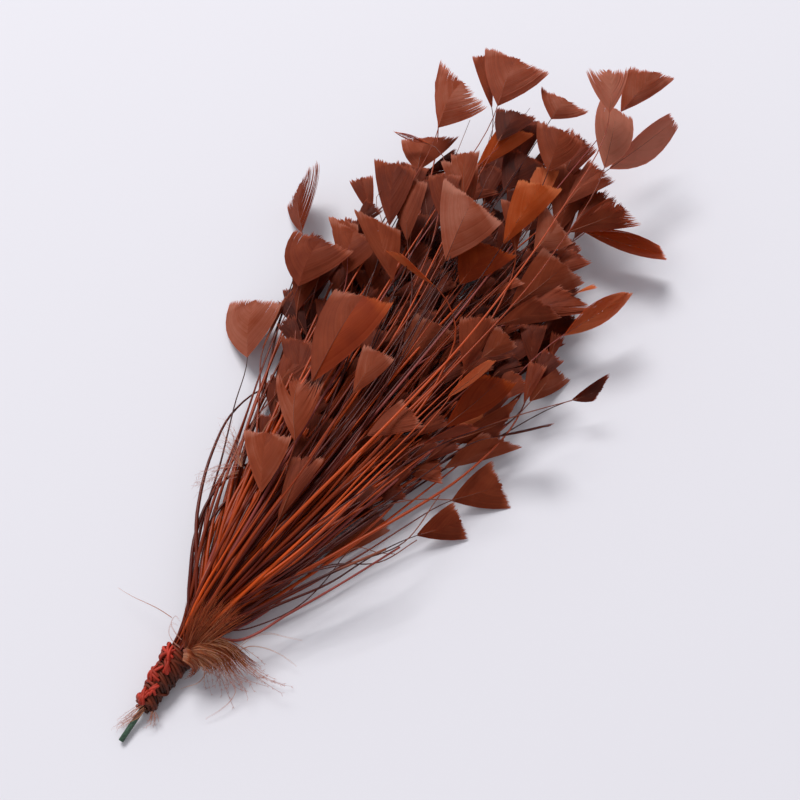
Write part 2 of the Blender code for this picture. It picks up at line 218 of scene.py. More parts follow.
def read_feather(node):
    """A feather's middle line (12, 3), its thickness there (12), and its vane's left and right
    edges (5, 3), which begin where the quill's bare part ends."""
    rings = rings_of(node)
    middle = rings.mean(axis=1)
    radius = np.linalg.norm(rings - middle[:, None], axis=2).mean(axis=1)
    edges = []
    for k in range(QUILL_RINGS, RINGS):
        ring = rings[k]
        apart = np.linalg.norm(ring[:, None] - ring[None], axis=2)
        a, b = np.unravel_index(apart.argmax(), apart.shape)
        c, d = sorted(set(range(RING_CORNERS)) - {a, b})
        middle[k] = (ring[c] + ring[d]) / 2
        radius[k] = np.linalg.norm(ring[c] - ring[d]) / 2
        pair = ring[[a, b]]
        lead = edges[-1][1] - edges[-1][0] if edges else HANDLE_RIGHT
        edges.append(pair if (pair[1] - pair[0]) @ lead > 0 else pair[::-1])
    apex = middle[QUILL_RINGS - 1]
    left, right = np.array(edges).transpose(1, 0, 2)
    past = middle[-1] - (left[-1] + right[-1]) / 2
    middle[QUILL_RINGS:] -= VANE_SHARES**2 * past * CUT_FLATTEN
    return {
        "middle": drawn_tight(middle),
        "radius": radius * VISIBLE_QUILL,
        "left": np.vstack([apex, left]),
        "right": np.vstack([apex, right]),
    }


surveyed = [read_feather(node) for node in FEATHER_NODES]
print(len(surveyed), "feathers read, the first one's root at", surveyed[0]["middle"][0].round(4))

# %% [markdown]
# Leaf shaped vanes
#
# Some vanes are more leaf shaped than the straight-sided solid, or reach a little further. They
# could be modelled one by one, but two short tables do: by feather number, how far the left and
# right edges swell as a share of their length, and where the left and right corners show in the
# picture, at the solid's height. A swollen vane gets more stations along each barb, so that its
# outline stays round.

# %% Leaf shaped and wider vanes
SWELL = {
    2: (0.0, 0.09), 6: (0.1, 0.02), 11: (0.08, 0.06), 17: (0.05, 0.05), 19: (0.03, 0.05),
    22: (0.11, 0.0), 25: (0.12, 0.13), 29: (0.06, 0.08), 33: (0.1, 0.1), 39: (0.05, 0.15),
    47: (0.07, 0.12), 52: (0.06, 0.03),
}
CORNERS = {
    11: ((660, 246), (667, 260)), 17: ((393, 131), (397, 133)), 25: ((622, 292), (633, 293)),
    33: ((488, 360), (496, 361)), 35: ((541, 200), (574, 243)), 39: ((670, 113), (679, 127)),
    49: ((585, 71), (630, 69)),
}
LEAF_STATIONS = 10


def reshape(one, swell, corners):
    """Moves the corners, with each edge point in proportion to its distance from the first barb,
    then adds edge length * swell * sin(pi v) outwards."""
    v = np.linspace(0, 1, len(one["left"]))[:, None]
    across = one["right"][-1] - one["left"][-1]
    for side, sign, much, corner in zip(("left", "right"), (-1, 1), swell, corners):
        edge = one[side]
        if corner:
            edge = edge + v * (seen_at(corner, edge[-1, 2]) - edge[-1])
        way = unit(edge[-1] - edge[0])
        out = unit(sign * (across - (across @ way) * way))
        one[side] = edge + np.sin(v * math.pi) * much * np.linalg.norm(edge[-1] - edge[0]) * out
    if corners[0]:
        end = (one["left"][-1] + one["right"][-1]) / 2
        one["middle"][QUILL_RINGS:] += VANE_SHARES * (end - one["middle"][-1])


leaf_shaped = sorted({*SWELL, *CORNERS})
for which in leaf_shaped:
    one = surveyed[which - 1]
    reshape(one, SWELL.get(which, (0, 0)), CORNERS.get(which, (None, None)))
    one["stations"] = LEAF_STATIONS
print("reshaped:", leaf_shaped)
lengths = [np.linalg.norm(np.diff(one["middle"], axis=0), axis=1).sum() for one in surveyed]
print("the feathers are", round(min(lengths) / MM), "to", round(max(lengths) / MM), "mm long")

# %% [markdown]
# Meshes from arrays
#
# Quills, barbs, thread and down are all thin and long. They could be curves with a bevel, or hair,
# but those can't vary from barb to barb as the real ones do. So every shape below is worked out as
# whole arrays of points, and one function makes the closed skin of many tubes at once.

# %% Faces of closed tubes


def tube_faces(count, rings, sides):
    """Triangles of closed tubes whose corners are laid out as (count, rings, sides): two for each
    four-sided patch and a fan over each end."""
    corner = np.arange(count * rings * sides).reshape(count, rings, sides)
    a, b = corner[:, :-1], np.roll(corner[:, :-1], -1, axis=2)
    c, d = np.roll(corner[:, 1:], -1, axis=2), corner[:, 1:]
    patches = [np.stack(three, -1).reshape(-1, 3) for three in ((a, d, c), (a, c, b))]
    fans = []
    for end, order in ((corner[:, 0], (0, 1, 2)), (corner[:, -1], (0, 2, 1))):
        first = np.repeat(end[:, :1], sides - 2, axis=1)
        fan = np.stack([first, end[:, 1:-1], end[:, 2:]], -1)[..., order]
        fans.append(fan.reshape(-1, 3))
    return np.concatenate([*patches, *fans])


def facing_out(corners, faces):
    """The faces, turned round if the volume that they enclose comes out negative."""
    a, b, c = corners[faces].transpose(1, 0, 2)
    volume = np.einsum("ij,ij->i", a - corners[0], np.cross(b - corners[0], c - corners[0])).sum()
    return faces if volume > 0 else faces[:, ::-1]


print("a tube of 6 rings with 3 sides has", len(tube_faces(1, 6, 3)), "triangles")

# %% [markdown]
# Two numbers go with each corner of a mesh: "along", which says how far it is along its quill or
# barb, and "tone", which says how light its colour is: its dye, and in places painted light or
# shade. The materials read them.

# %% Tubes round paths
NEARLY_UPRIGHT = 0.9


def skin(points, finish, smooth, along, tone):
    """A part of a mesh from (count, rings, sides, 3) points. along and tone fit (count, rings)."""
    count, rings, sides = points.shape[:3]
    corners = points.reshape(-1, 3)
    numbers = [
        np.repeat(np.broadcast_to(one, (count, rings)).reshape(-1), sides) for one in (along, tone)
    ]
    faces = facing_out(corners, tube_faces(count, rings, sides))
    look = {"finish": finish, "smooth": smooth, "numbers": numbers}
    return {"corners": corners, "faces": faces, **look}


def across_path(paths):
    """Two directions square to each path: its direction crossed with the upright, and the cross of
    those two. Where a path is nearly upright, the X axis takes the upright's place."""
    way = unit(np.gradient(paths, axis=-2))
    upright = np.where(np.abs(way[..., 2:]) < NEARLY_UPRIGHT, (0.0, 0.0, 1.0), (1.0, 0.0, 0.0))
    side = unit(np.cross(way, upright))
    return side, np.cross(side, way)


def round_tubes(paths, radii, sides, finish, smooth=True, along=0.5, tone=0.5):
    """Tubes round (count, rings, 3) paths: middle + radius * (cos * side + sin * over)."""
    side, over = across_path(paths)
    turn = np.arange(sides) * math.tau / sides
    reach = np.broadcast_to(radii, paths.shape[:2])[..., None, None]
    ring = np.cos(turn)[:, None] * side[:, :, None] + np.sin(turn)[:, None] * over[:, :, None]
    return skin(paths[:, :, None] + reach * ring, finish, smooth, along, tone)


trial = round_tubes(on_handle(np.arange(3) * MM)[None], MM, 6, "none")
print("a short tube's corners reach from", trial["corners"].min(axis=0).round(4))

# %% [markdown]
# Each piece is one mesh of many parts, joined here, so that the scene keeps few objects. It rides on
# the object's only body, and stands in for the solid that it dresses.

# %% Mesh pieces


def make_piece(name, parts, finishes, node=None):
    """One mesh object from parts, in place of the solid called node. Gives its triangle count."""
    starts = np.cumsum([0] + [len(part["corners"]) for part in parts])
    corners = np.concatenate([part["corners"] for part in parts])
    faces = np.concatenate([part["faces"] + start for part, start in zip(parts, starts)])
    mesh = bpy.data.meshes.new(name)
    mesh.from_pydata(corners, [], faces)
    used = sorted({part["finish"] for part in parts}, key=finishes.index)
    for finish in used:
        mesh.materials.append(bpy.data.materials[finish])
    counts = [len(part["faces"]) for part in parts]
    indices = [used.index(part["finish"]) for part in parts]
    mesh.polygons.foreach_set("material_index", np.repeat(indices, counts))
    mesh.polygons.foreach_set("use_smooth", np.repeat([part["smooth"] for part in parts], counts))
    for k, label in enumerate(("along", "tone")):
        values = np.concatenate([part["numbers"][k] for part in parts]).astype(np.float32)
        mesh.attributes.new(label, "FLOAT", "POINT").data.foreach_set("value", values)
    piece = bpy.data.objects.new(name, mesh)
    bpy.context.scene.collection.objects.link(piece)
    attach(piece, "root")
    if node:
        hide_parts(node)
    return len(faces)


print("each piece gets the numbers along and tone, and rides on the body root")

# %% [markdown]
# Colours and a way to add nodes
#
# Colours are written as they look on a screen, in hex. A renderer adds light up in linear numbers,
# so one function turns them over. Nodes could be joined by hand in the editor, but one function that
# adds a node with its settings and links keeps each material short enough to read as a recipe.

# %% Colour and node helpers


def linear(colour, alpha=1.0):
    """A hex colour as linear red, green, blue and alpha: below 0.04045 divided by 12.92, above it
    ((c + 0.055) / 1.055) ** 2.4."""
    parts = [int(colour[k : k + 2], 16) / 255 for k in (1, 3, 5)]
    return (*(c / 12.92 if c < 0.04045 else ((c + 0.055) / 1.055) ** 2.4 for c in parts), alpha)


def new_material(name):
    """The empty node tree of a new material."""
    material = bpy.data.materials.new(name)
    material.use_nodes = True
    material.node_tree.nodes.clear()
    return material.node_tree


def add(tree, kind, inputs=(), **settings):
    """A node with settings on it, and inputs given by name or number: a value, or another node's
    output to link."""
    node = tree.nodes.new("ShaderNode" + kind)
    for key, value in settings.items():
        setattr(node, key, value)
    for key, value in dict(inputs).items():
        if isinstance(value, bpy.types.NodeSocket):
            tree.links.new(value, node.inputs[key])
        else:
            node.inputs[key].default_value = value
    return node


def ramp(tree, value, stops):
    """The colour output of a ramp with (position, hex) stops."""
    node = add(tree, "ValToRGB", {"Fac": value})
    elements = node.color_ramp.elements
    for position, colour in stops[2:]:
        elements.new(position)
    for element, (position, colour) in zip(elements, stops):
        element.position = position
        element.color = linear(colour)
    return node.outputs["Color"]


def number(tree, label):
    """One of the numbers kept on a mesh's corners."""
    return add(tree, "Attribute", attribute_name=label, attribute_type="GEOMETRY").outputs["Fac"]


def noise(tree, size, detail):
    """Noise in object space whose lumps are about this size, in metres: its scale is 1 / size."""
    place = add(tree, "TexCoord").outputs["Object"]
    node = add(tree, "TexNoise", {"Vector": place, "Scale": 1 / size, "Detail": detail})
    return node.outputs["Fac"]


def shown(tree, surface, lit_colour=None, lit_share=0.0):
    """Ends a material with its surface, of which a share lets light through in a colour."""
    if lit_colour is not None:
        lit = add(tree, "BsdfTranslucent", {"Color": lit_colour})
        surface = add(tree, "MixShader", {0: lit_share, 1: surface.outputs[0], 2: lit.outputs[0]})
    add(tree, "OutputMaterial", {"Surface": surface.outputs[0]})


print("a screen's middle grey is, in linear light,", round(linear("#808080")[0], 3))

# %% [markdown]
# Dyed feather
#
# Feathers are keratin, the stuff of hair and horn. In the vane it forms barbs a few hundredths of
# a millimetre thick, hooked side by side into a sheet. Dye soaks in unevenly, so each barb is a
# little lighter or darker. The surface scatters light like a soft cloth, with a faint pinkish bloom
# at a grazing angle, and part of the light goes through and comes out orange. A picture of a feather
# could be laid on instead, but it would not follow each barb. So the vane is a rough Principled
# surface with sheen, mixed with a Translucent one.

# %% Vane material
# Dye takes unevenly, in blotches about a centimetre wide. A barb's own grain, 0.02 mm, is too fine
# to show, so the number "tone" gives each barb one shade instead. The surface is matte, because a
# strong highlight would make a vane look like plastic.
BLOTCH_SIZE = 11 * MM
BLOTCH_SHARE = 0.45
PALE_FROM = 0.82
PALE_TIP = 0.45


def dyed_vane(name, stops, lit_stops, lit_share):
    """Dyed keratin barbs: matte with a bloom, lit through, their fine tips paler. The shade is
    tone + (blotch - 1/2) * its share + a rise near the tip."""
    tree = new_material(name)
    blotch = noise(tree, BLOTCH_SIZE, 3.0)
    tone, along = number(tree, "tone"), number(tree, "along")
    shade = add(tree, "Math", {0: blotch, 1: BLOTCH_SHARE, 2: tone}, operation="MULTIPLY_ADD")
    shade = add(tree, "Math", {0: shade.outputs[0], 1: BLOTCH_SHARE / 2}, operation="SUBTRACT")
    tip = add(tree, "MapRange", {0: along, 1: PALE_FROM, 2: 1.0, 3: 0.0, 4: PALE_TIP})
    shade = add(tree, "Math", {0: shade.outputs[0], 1: tip.outputs[0]}, operation="ADD").outputs[0]
    surface = add(tree, "BsdfPrincipled", {
        "Base Color": ramp(tree, shade, stops),
        "Roughness": 0.6,
        "Specular IOR Level": 0.2,
        "Sheen Weight": 0.05,
        "Sheen Roughness": 0.5,
        "Sheen Tint": linear("#E8B4A4"),
    })
    shown(tree, surface, ramp(tree, shade, lit_stops), lit_share)
    print(name, "has", len(tree.nodes), "nodes")
    return name


# A thin vane is sheer: more light comes through it. Its base colour is also a brighter orange than
# the other barbs', painted glow of that light.
BARBS = dyed_vane(
    "dyed barbs",
    ((0.0, "#451406"), (0.3, "#7A2E12"), (0.6, "#9A4828"), (1.0, "#BC8068")),
    ((0.0, "#B43C04"), (1.0, "#FF8A38")),
    0.42,
)
SHEER_GLOW = dyed_vane(
    "sheer dyed barbs",
    ((0.0, "#6A1E04"), (0.3, "#9C3A0A"), (0.6, "#B85014"), (1.0, "#DC8450")),
    ((0.0, "#D85A14"), (1.0, "#F8A058")),
    0.5,
)

# %% [markdown]
# Dyed quill
#
# The quill is the same keratin in one hollow tube, smooth as a fingernail. Near the root its wall is
# thick and takes the dye as a clear orange red, with a narrow bright highlight. Towards the vane it
# is thin and dense, and looks nearly black against the light. One colour for all would look like
# plastic straw, so the colour follows the number "along", between a light and a dark dye bath, and
# the surface is glossy.

# %% Quill material
# A stripped quill has shallow dents, a few millimetres long, that break its highlight up. It is
# smoother than a vane, so its lower roughness draws a narrow shine along the tube.
DENT_SIZE = 4 * MM
DENT_DEPTH = 0.2 * MM
PINKISH_ABOVE = 0.88
PINKISH = "#8E4038"


def dyed_quill():
    """A smooth keratin tube, orange red at the root and dark where it is thin."""
    tree = new_material("dyed quill")
    along, tone = number(tree, "along"), number(tree, "tone")
    light = ramp(tree, along, (
        (0.0, "#963810"), (0.3, "#C84C12"), (0.6, "#C24A16"), (0.78, "#963A18"), (0.84, "#A0583C"),
    ))
    dark = ramp(tree, along, (
        (0.0, "#4A1408"), (0.3, "#541608"), (0.6, "#421008"), (0.78, "#380E08"), (0.84, "#7A3C26"),
    ))
    share = add(tree, "MapRange", {0: tone, 1: 0.15, 2: 0.75, 3: 0.0, 4: 1.0})
    colour = add(tree, "Mix", {0: share.outputs[0], 6: dark, 7: light}, data_type="RGBA")
    pink = add(tree, "Math", {0: tone, 1: PINKISH_ABOVE}, operation="GREATER_THAN").outputs[0]
    pair = {0: pink, 6: colour.outputs[2], 7: linear(PINKISH)}
    colour = add(tree, "Mix", pair, data_type="RGBA")
    dents = noise(tree, DENT_SIZE, 2.0)
    bump = add(tree, "Bump", {"Height": dents, "Strength": 0.06, "Distance": DENT_DEPTH})
    shown(tree, add(tree, "BsdfPrincipled", {
        "Base Color": colour.outputs[2],
        "Roughness": 0.3,
        "Specular IOR Level": 0.22,
        "Normal": bump.outputs[0],
    }))
    print("dyed quill has", len(tree.nodes), "nodes")
    return "dyed quill"


QUILL = dyed_quill()

# %% [markdown]
# One feather
#
# A feather is a shaft with a row of barbs on either side. A vane could be one curved sheet with its
# barbs painted on, but then its cut edge would be a clean line and no light would show between
# barbs, so each is a blade of its own: flat on top, with a keel below. Every barb lies parallel to
# the vane's side edge, and the scissors' cut runs from corner to corner, so barbs get shorter
# towards the tip of the shaft. On real feathers barbs come unhooked and gather in small locks with
# gaps between, so their ends are drawn together in groups, and the cut edge is a little uneven.

# %% Smooth lines through points


def through(points, count, start=0.0, end=1.0):
    """A smooth line through points (..., k, 3), as (..., count, 3): cubic Hermite pieces whose
    slopes are the differences of neighbours over the chord's length. start and end are shares."""
    points = np.asarray(points, float)
    steps = np.linalg.norm(np.diff(points, axis=-2), axis=-1)
    knots = np.concatenate([np.zeros((*steps.shape[:-1], 1)), np.cumsum(steps, axis=-1)], axis=-1)
    flat_points = points.reshape(-1, *points.shape[-2:])
    lines = []
    for line, knot in zip(flat_points, knots.reshape(-1, knots.shape[-1])):
        slope = np.gradient(line, knot, axis=0)
        where = np.linspace(start, end, count) * knot[-1]
        k = np.clip(np.searchsorted(knot, where, side="right") - 1, 0, len(knot) - 2)
        gap = (knot[k + 1] - knot[k])[:, None]
        t = (where[:, None] - knot[k][:, None]) / gap
        lines.append(
            (1 + 2 * t) * (1 - t) ** 2 * line[k]
            + t * (1 - t) ** 2 * gap * slope[k]
            + t**2 * (3 - 2 * t) * line[k + 1]
            + t**2 * (t - 1) * gap * slope[k + 1]
        )
    return np.array(lines).reshape(*points.shape[:-2], count, 3)


arch = through([(0, 0, 0), (1, 1, 0), (2, 0, 0)], 5)
print("a line over (0, 0), (1, 1) and (2, 0) also passes", arch[1, :2].round(2))

# %% [markdown]
# The vane's surface is given by two shares: s runs up the shaft, and v out along a barb. The side
# edge is carried up the shaft and shrinks to nothing at the shaft's cut end. Barbs stand a third of
# a millimetre apart, as on a real flight feather, and each is more than twice as wide as its gap,
# because the hooks that close a real vane are far too fine to draw.

# %% Places on a vane
BARB_SPACING = 0.33 * MM
BARB_STATIONS = 6
TIP_LENGTH = 1.5 * MM
LOCK = 14
SAMPLES = 24
SAMPLE_SHARES = np.linspace(0, 1, SAMPLES)
print("a vane 30 mm across has about", round(30 * MM / BARB_SPACING), "barbs")


def sampled(samples, at):
    """A line's points at these shares of it, between its samples."""
    return np.stack([np.interp(at, SAMPLE_SHARES, samples[:, k]) for k in range(3)], axis=-1)


def barb_shares(length, count, stations, s, fray, rng):
    """For each barb its s and v at every station, and which lock it is in. v gets random noise and
    two waves along the cut edge, and s is pulled towards the lock's middle by a share that grows as
    v^2. Takes each barb's length and its s at the shaft."""
    thinning = 1 - np.minimum(TIP_LENGTH * (1 + fray) / length, 0.4)
    v = np.hstack([thinning[:, None] * np.linspace(0, 1, stations - 1), np.ones((count, 1))])
    lock_edges = np.cumsum(rng.uniform(0.4, 1.6, count) * LOCK)
    lock = np.searchsorted(lock_edges, np.arange(count))
    centre = (np.bincount(lock, s) / np.maximum(np.bincount(lock), 1))[lock]
    pull = (rng.uniform(0, 1, lock.max() + 1) ** 3 * 0.7 * fray)[lock]
    stray = rng.normal(0, 0.4, count) * fray / count
    s_here = s[:, None] + (pull * (centre - s) + stray)[:, None] * v**2
    waves = 0.25 * np.sin(s * rng.uniform(9, 16) + rng.uniform(0, 6))
    waves = waves + 0.15 * np.sin(s * rng.uniform(25, 40))
    reach = waves + rng.uniform(-0.4, 0.4, count) + rng.uniform(-1.6, 1.0, count) * fray
    reach = 1 + reach * MM / np.maximum(length, 2 * MM)
    return s_here, v, v * np.clip(reach, 0.5, 1.3)[:, None], lock


# %% [markdown]
# Each barb is laid on that surface, raised or lowered a little with its lock where the vane is
# frayed, and tilted like the slats of a blind, so that light catches single barbs. Its section is a
# flat triangle: two edges nearly level with the vane, and the keel below.

# %% One side of a vane
FEWEST_BARBS = 8
BARB_OVERLAP = 2.3
BARB_KEEL = 0.1 * MM
FLOOR_GAP = 0.15 * MM


def vane_side(one, edge, rng, fray, tone, finish):
    """The barbs from the shaft to one side edge.
    Place(s, v) = A + s (E - A) + shaft's bow (1 - v^2) + (1 - s) (edge(v) - A), where A is the first
    barb's root and E the shaft's cut end."""
    first = one["middle"][QUILL_RINGS - 1]
    shaft = one["middle"][-1] - first
    outward = edge[-1] - first
    edge_samples = through(edge, SAMPLES) - first
    edge_way = unit(np.gradient(edge_samples, axis=0))
    spread = np.linalg.norm(np.cross(shaft - edge_samples, edge_way), axis=1)
    count = max(int(spread.mean() / BARB_SPACING), FEWEST_BARBS)
    s = (np.arange(count) + 0.5 + rng.uniform(-0.3, 0.3, count)) / count
    length = np.linalg.norm(outward) * (1 - s)
    stations = one.get("stations", BARB_STATIONS)
    s_here, v, v_here, lock = barb_shares(length, count, stations, s, fray, rng)

    bow_samples = through(one["middle"][QUILL_RINGS - 1 :], SAMPLES)
    bow_samples = bow_samples - first - SAMPLE_SHARES[:, None] * shaft
    last_step = edge_samples[-1] - edge_samples[-2]
    over_end = np.maximum(v_here - 1, 0)[..., None] * last_step * (SAMPLES - 1)
    paths = (
        first
        + s_here[..., None] * shaft
        + sampled(bow_samples, s_here) * (1 - np.minimum(v_here, 1)[..., None] ** 2)
        + (1 - s_here)[..., None] * (sampled(edge_samples, v_here) + over_end)
    )
    normal = unit(np.cross(shaft, outward))
    normal = normal if normal @ one["up"] > 0 else -normal
    lift = rng.normal(0, 0.3, count) * fray + (rng.uniform(-1, 1, lock.max() + 1) * fray)[lock]
    paths = paths + (lift[:, None] * v**2 * MM)[..., None] * normal

    way = unit(np.gradient(paths, axis=1))
    across = unit(np.cross(way, normal))
    tilt = rng.uniform(0.0, 0.16, count)[:, None, None]
    across = unit(across + tilt * normal)
    spacing = np.interp(v, SAMPLE_SHARES, spread) / count
    taper = np.array([0.9, *[1] * (stations - 3), 0.9, 0.1])
    width = spacing * BARB_OVERLAP / 2 * taper * (1 - min(0.3 * fray, 0.5) * v)
    keel = BARB_KEEL * np.append(np.linspace(1.6, 0.8, stations - 1), 0.3)[:, None]
    half = across * width[..., None]
    points = np.stack([paths - half, paths + half, paths - normal * keel], axis=2)
    points[..., 2] = np.maximum(points[..., 2], FLOOR_GAP)
    barb_tone = tone + rng.normal(0, 0.03, count) + rng.normal(0, 0.03, lock.max() + 1)[lock]
    return skin(points, finish, False, v, np.clip(barb_tone, 0, 1)[:, None])


# %% [markdown]
# The shaft is one tapering tube from the root inside the binding to the cut tip. It stays in view on
# top of the vane, as a fine ridge. No quill is quite straight, so it sways by less than a
# millimetre, and not at its two ends.

# %% A whole feather
QUILL_SIDES = 8
QUILL_STATIONS = 38
WOBBLE = 0.7 * MM


def feather_parts(one, seed, fray, tone, quill_tone, sides=QUILL_SIDES, finish=BARBS):
    """The parts of a feather: its shaft, then the barbs of its left and right sides. The shaft is
    the smooth middle line + sines of random pace * sin(pi share)."""
    rng = np.random.default_rng(seed)
    middle = one["middle"]
    chords = np.concatenate([[0], np.cumsum(np.linalg.norm(np.diff(middle, axis=0), axis=1))])
    chords /= chords[-1]
    shares = np.linspace(0, 1, QUILL_STATIONS)
    path = through(middle, QUILL_STATIONS)
    sway = np.sin(shares[:, None] * rng.uniform(5, 16, 3) + rng.uniform(0, 6, 3))
    path = path + sway * WOBBLE * np.sin(shares * math.pi)[:, None]
    radii = np.interp(shares, chords, one["radius"])
    path[:, 2] = np.maximum(path[:, 2], radii + FLOOR_GAP)
    along = np.interp(shares, [0, chords[QUILL_RINGS - 1], 1], [0, 0.8, 1])
    quill = round_tubes(path[None], radii[None], sides, QUILL, True, along[None], quill_tone)
    return [
        quill,
        vane_side(one, one["left"], rng, fray, tone, finish),
        vane_side(one, one["right"], rng, fray, tone, finish),
    ]


def side_up(one):
    """The side of a vane that its solid's shaft bows to."""
    first, last = one["middle"][QUILL_RINGS - 1], one["middle"][-1]
    normal = unit(np.cross(one["right"][-1] - first, one["left"][-1] - first))
    bow = one["middle"][QUILL_RINGS + 1] - (first + last) / 2
    return normal if bow @ normal >= 0 else -normal


finishes = [QUILL, BARBS, SHEER_GLOW]
for one in surveyed:
    one["up"] = side_up(one)
print(sum(one["up"][2] > 0 for one in surveyed), "of the vanes bow upwards")

# %% [markdown]
# Looks of the surveyed feathers
#
# Dye, light and wear differ from feather to feather. What stands out in the picture is given by
# feather number: how light it looks, which ones are thin enough to glow, with a brighter colour that
# paints the glow, and which are frayed. The rest get a random shade and a little wear. Feathers at
# the crown get a lighter tone, painted light, because nothing shades them.

# %% The surveyed feathers
# Most tones follow the dye that a feather shows. 48's is raised as painted light, since it faces
# away from the lamp; 34 lies in 51's shadow and is brightened instead by the sheer barbs' glow
# colour.
TONES = {
    1: 0.15, 3: 0.6, 6: 0.72, 7: 0.5, 8: 0.12, 10: 0.05, 11: 0.5, 13: 0.35, 17: 0.8, 22: 0.38,
    24: 0.55, 25: 0.8, 29: 0.25, 30: 0.6, 33: 1.0, 34: 0.35, 35: 0.65, 36: 0.12, 38: 0.68, 39: 1.0,
    40: 0.12, 45: 0.65, 46: 0.7, 47: 1.0, 48: 0.7, 49: 0.95, 50: 0.58, 51: 0.68, 54: 0.5, 55: 0.62,
}
THIN = {11, 17, 25, 29, 33, 34, 44, 45}
FRAYED = {
    2: 1.0, 10: 0.6, 11: 0.05, 25: 0.05, 26: 2.0, 33: 0.05, 38: 0.6, 46: 0.4, 48: 0.5, 49: 1.0,
    50: 0.3, 55: 1.5,
}
HALF_SHEER = 52
LIT_CROWN = [0.28, 0.36]
looks = np.random.default_rng(20)
total = 0
for which, (node, one) in enumerate(zip(FEATHER_NODES, surveyed), start=1):
    reach = (one["middle"][-1] - WIRE_TIP) @ HANDLE_ALONG
    # Painted light: further out, towards the crown, the random tone rises by up to 0.2, where
    # nothing shades the feathers.
    tone = TONES.get(which, looks.uniform(0.3, 0.65) + 0.2 * np.interp(reach, LIT_CROWN, [0, 1]))
    fray = FRAYED.get(which, looks.uniform(0.05, 0.4))
    finish = SHEER_GLOW if which in THIN else BARBS
    parts = feather_parts(one, which - 1, fray, tone, looks.uniform(0.0, 1.0), finish=finish)
    if which == HALF_SHEER:
        parts[1] = vane_side(one, one["left"], looks, fray, 0.42, BARBS)
        parts[2] = vane_side(one, one["right"], looks, fray, 0.3, SHEER_GLOW)
    total += make_piece("trimmed_" + node, parts, finishes, node)
print(len(surveyed), "feathers built with", total, "triangles")

# %% [markdown]
# More feathers than the solids
#
# The real spray has about half as many feathers again as the solid model, most of them half hidden.
# Copies of the others would show, so each gets its own shape. The ones that can be made out are
# given by their place in the picture: where the vane starts, and its left and right corners, with
# their height. Their quills run back to the binding's mouth.

# %% A feather placed by sight
MOUTH_PACK = 4.6 * MM
PLACED_RADII = np.array([0.25, 0.42, 0.8, 0.75, 0.62, 0.5, 0.38, 0.26, 0.2, 0.15, 0.12, 0.1]) * MM


def placed_feather(apex, left, right, rng, bow=0.12):
    """A feather whose vane has these three corners. The quill is a cubic Bezier curve from the
    mouth: it leaves along the handle and arrives along the vane's middle line. The vane's shaft is
    raised by bow * width * sin(pi s)."""
    end = (left + right) / 2
    way = unit(end - apex)
    turn, out = rng.uniform(0, math.tau), math.sqrt(rng.uniform(0, 1)) * MOUTH_PACK
    across, up = out * math.cos(turn), out * math.sin(turn)
    root = on_handle(24 * MM, across * 0.6, up * 0.6)
    mouth = on_handle(BINDING_MOUTH + 3 * MM, across, up)
    span = np.linalg.norm(apex - mouth)
    lean = unit(unit(apex - mouth) + 0.9 * HANDLE_ALONG)
    pulls = [mouth, mouth + lean * span * 0.3, apex - way * span * 0.22, apex]
    t = np.linspace(0, 1, QUILL_RINGS - 1)[:, None]
    quill = (1 - t) ** 3 * pulls[0] + 3 * t * (1 - t) ** 2 * pulls[1]
    quill = quill + 3 * t**2 * (1 - t) * pulls[2] + t**3 * pulls[3]
    belly = np.sin(t * math.pi)
    quill = quill + belly * (rng.normal(0, 7) * HANDLE_RIGHT + rng.uniform(0, 6) * HANDLE_UP) * MM
    normal = unit(np.cross(right - apex, left - apex))
    normal = normal if normal[2] > 0 else -normal
    width = np.linalg.norm(right - left)
    hump = np.sin(VANE_SHARES * math.pi) * normal
    shaft = apex + VANE_SHARES * (end - apex) + hump * width * bow

    def edge(corner, away):
        swell = np.sin(VANE_SHARES * math.pi) * away * width * 0.05
        line = apex + VANE_SHARES * (corner - apex) + swell
        return np.vstack([apex, line + hump * width * bow * 0.3])

    side = unit(right - left)
    return {
        "middle": drawn_tight(np.vstack([root, quill, shaft])),
        "radius": PLACED_RADII,
        "left": edge(left, -side),
        "right": edge(right, side),
        "up": normal,
    }


print("a placed quill is", round(2 * PLACED_RADII.max() / MM, 1), "mm thick at the mouth")
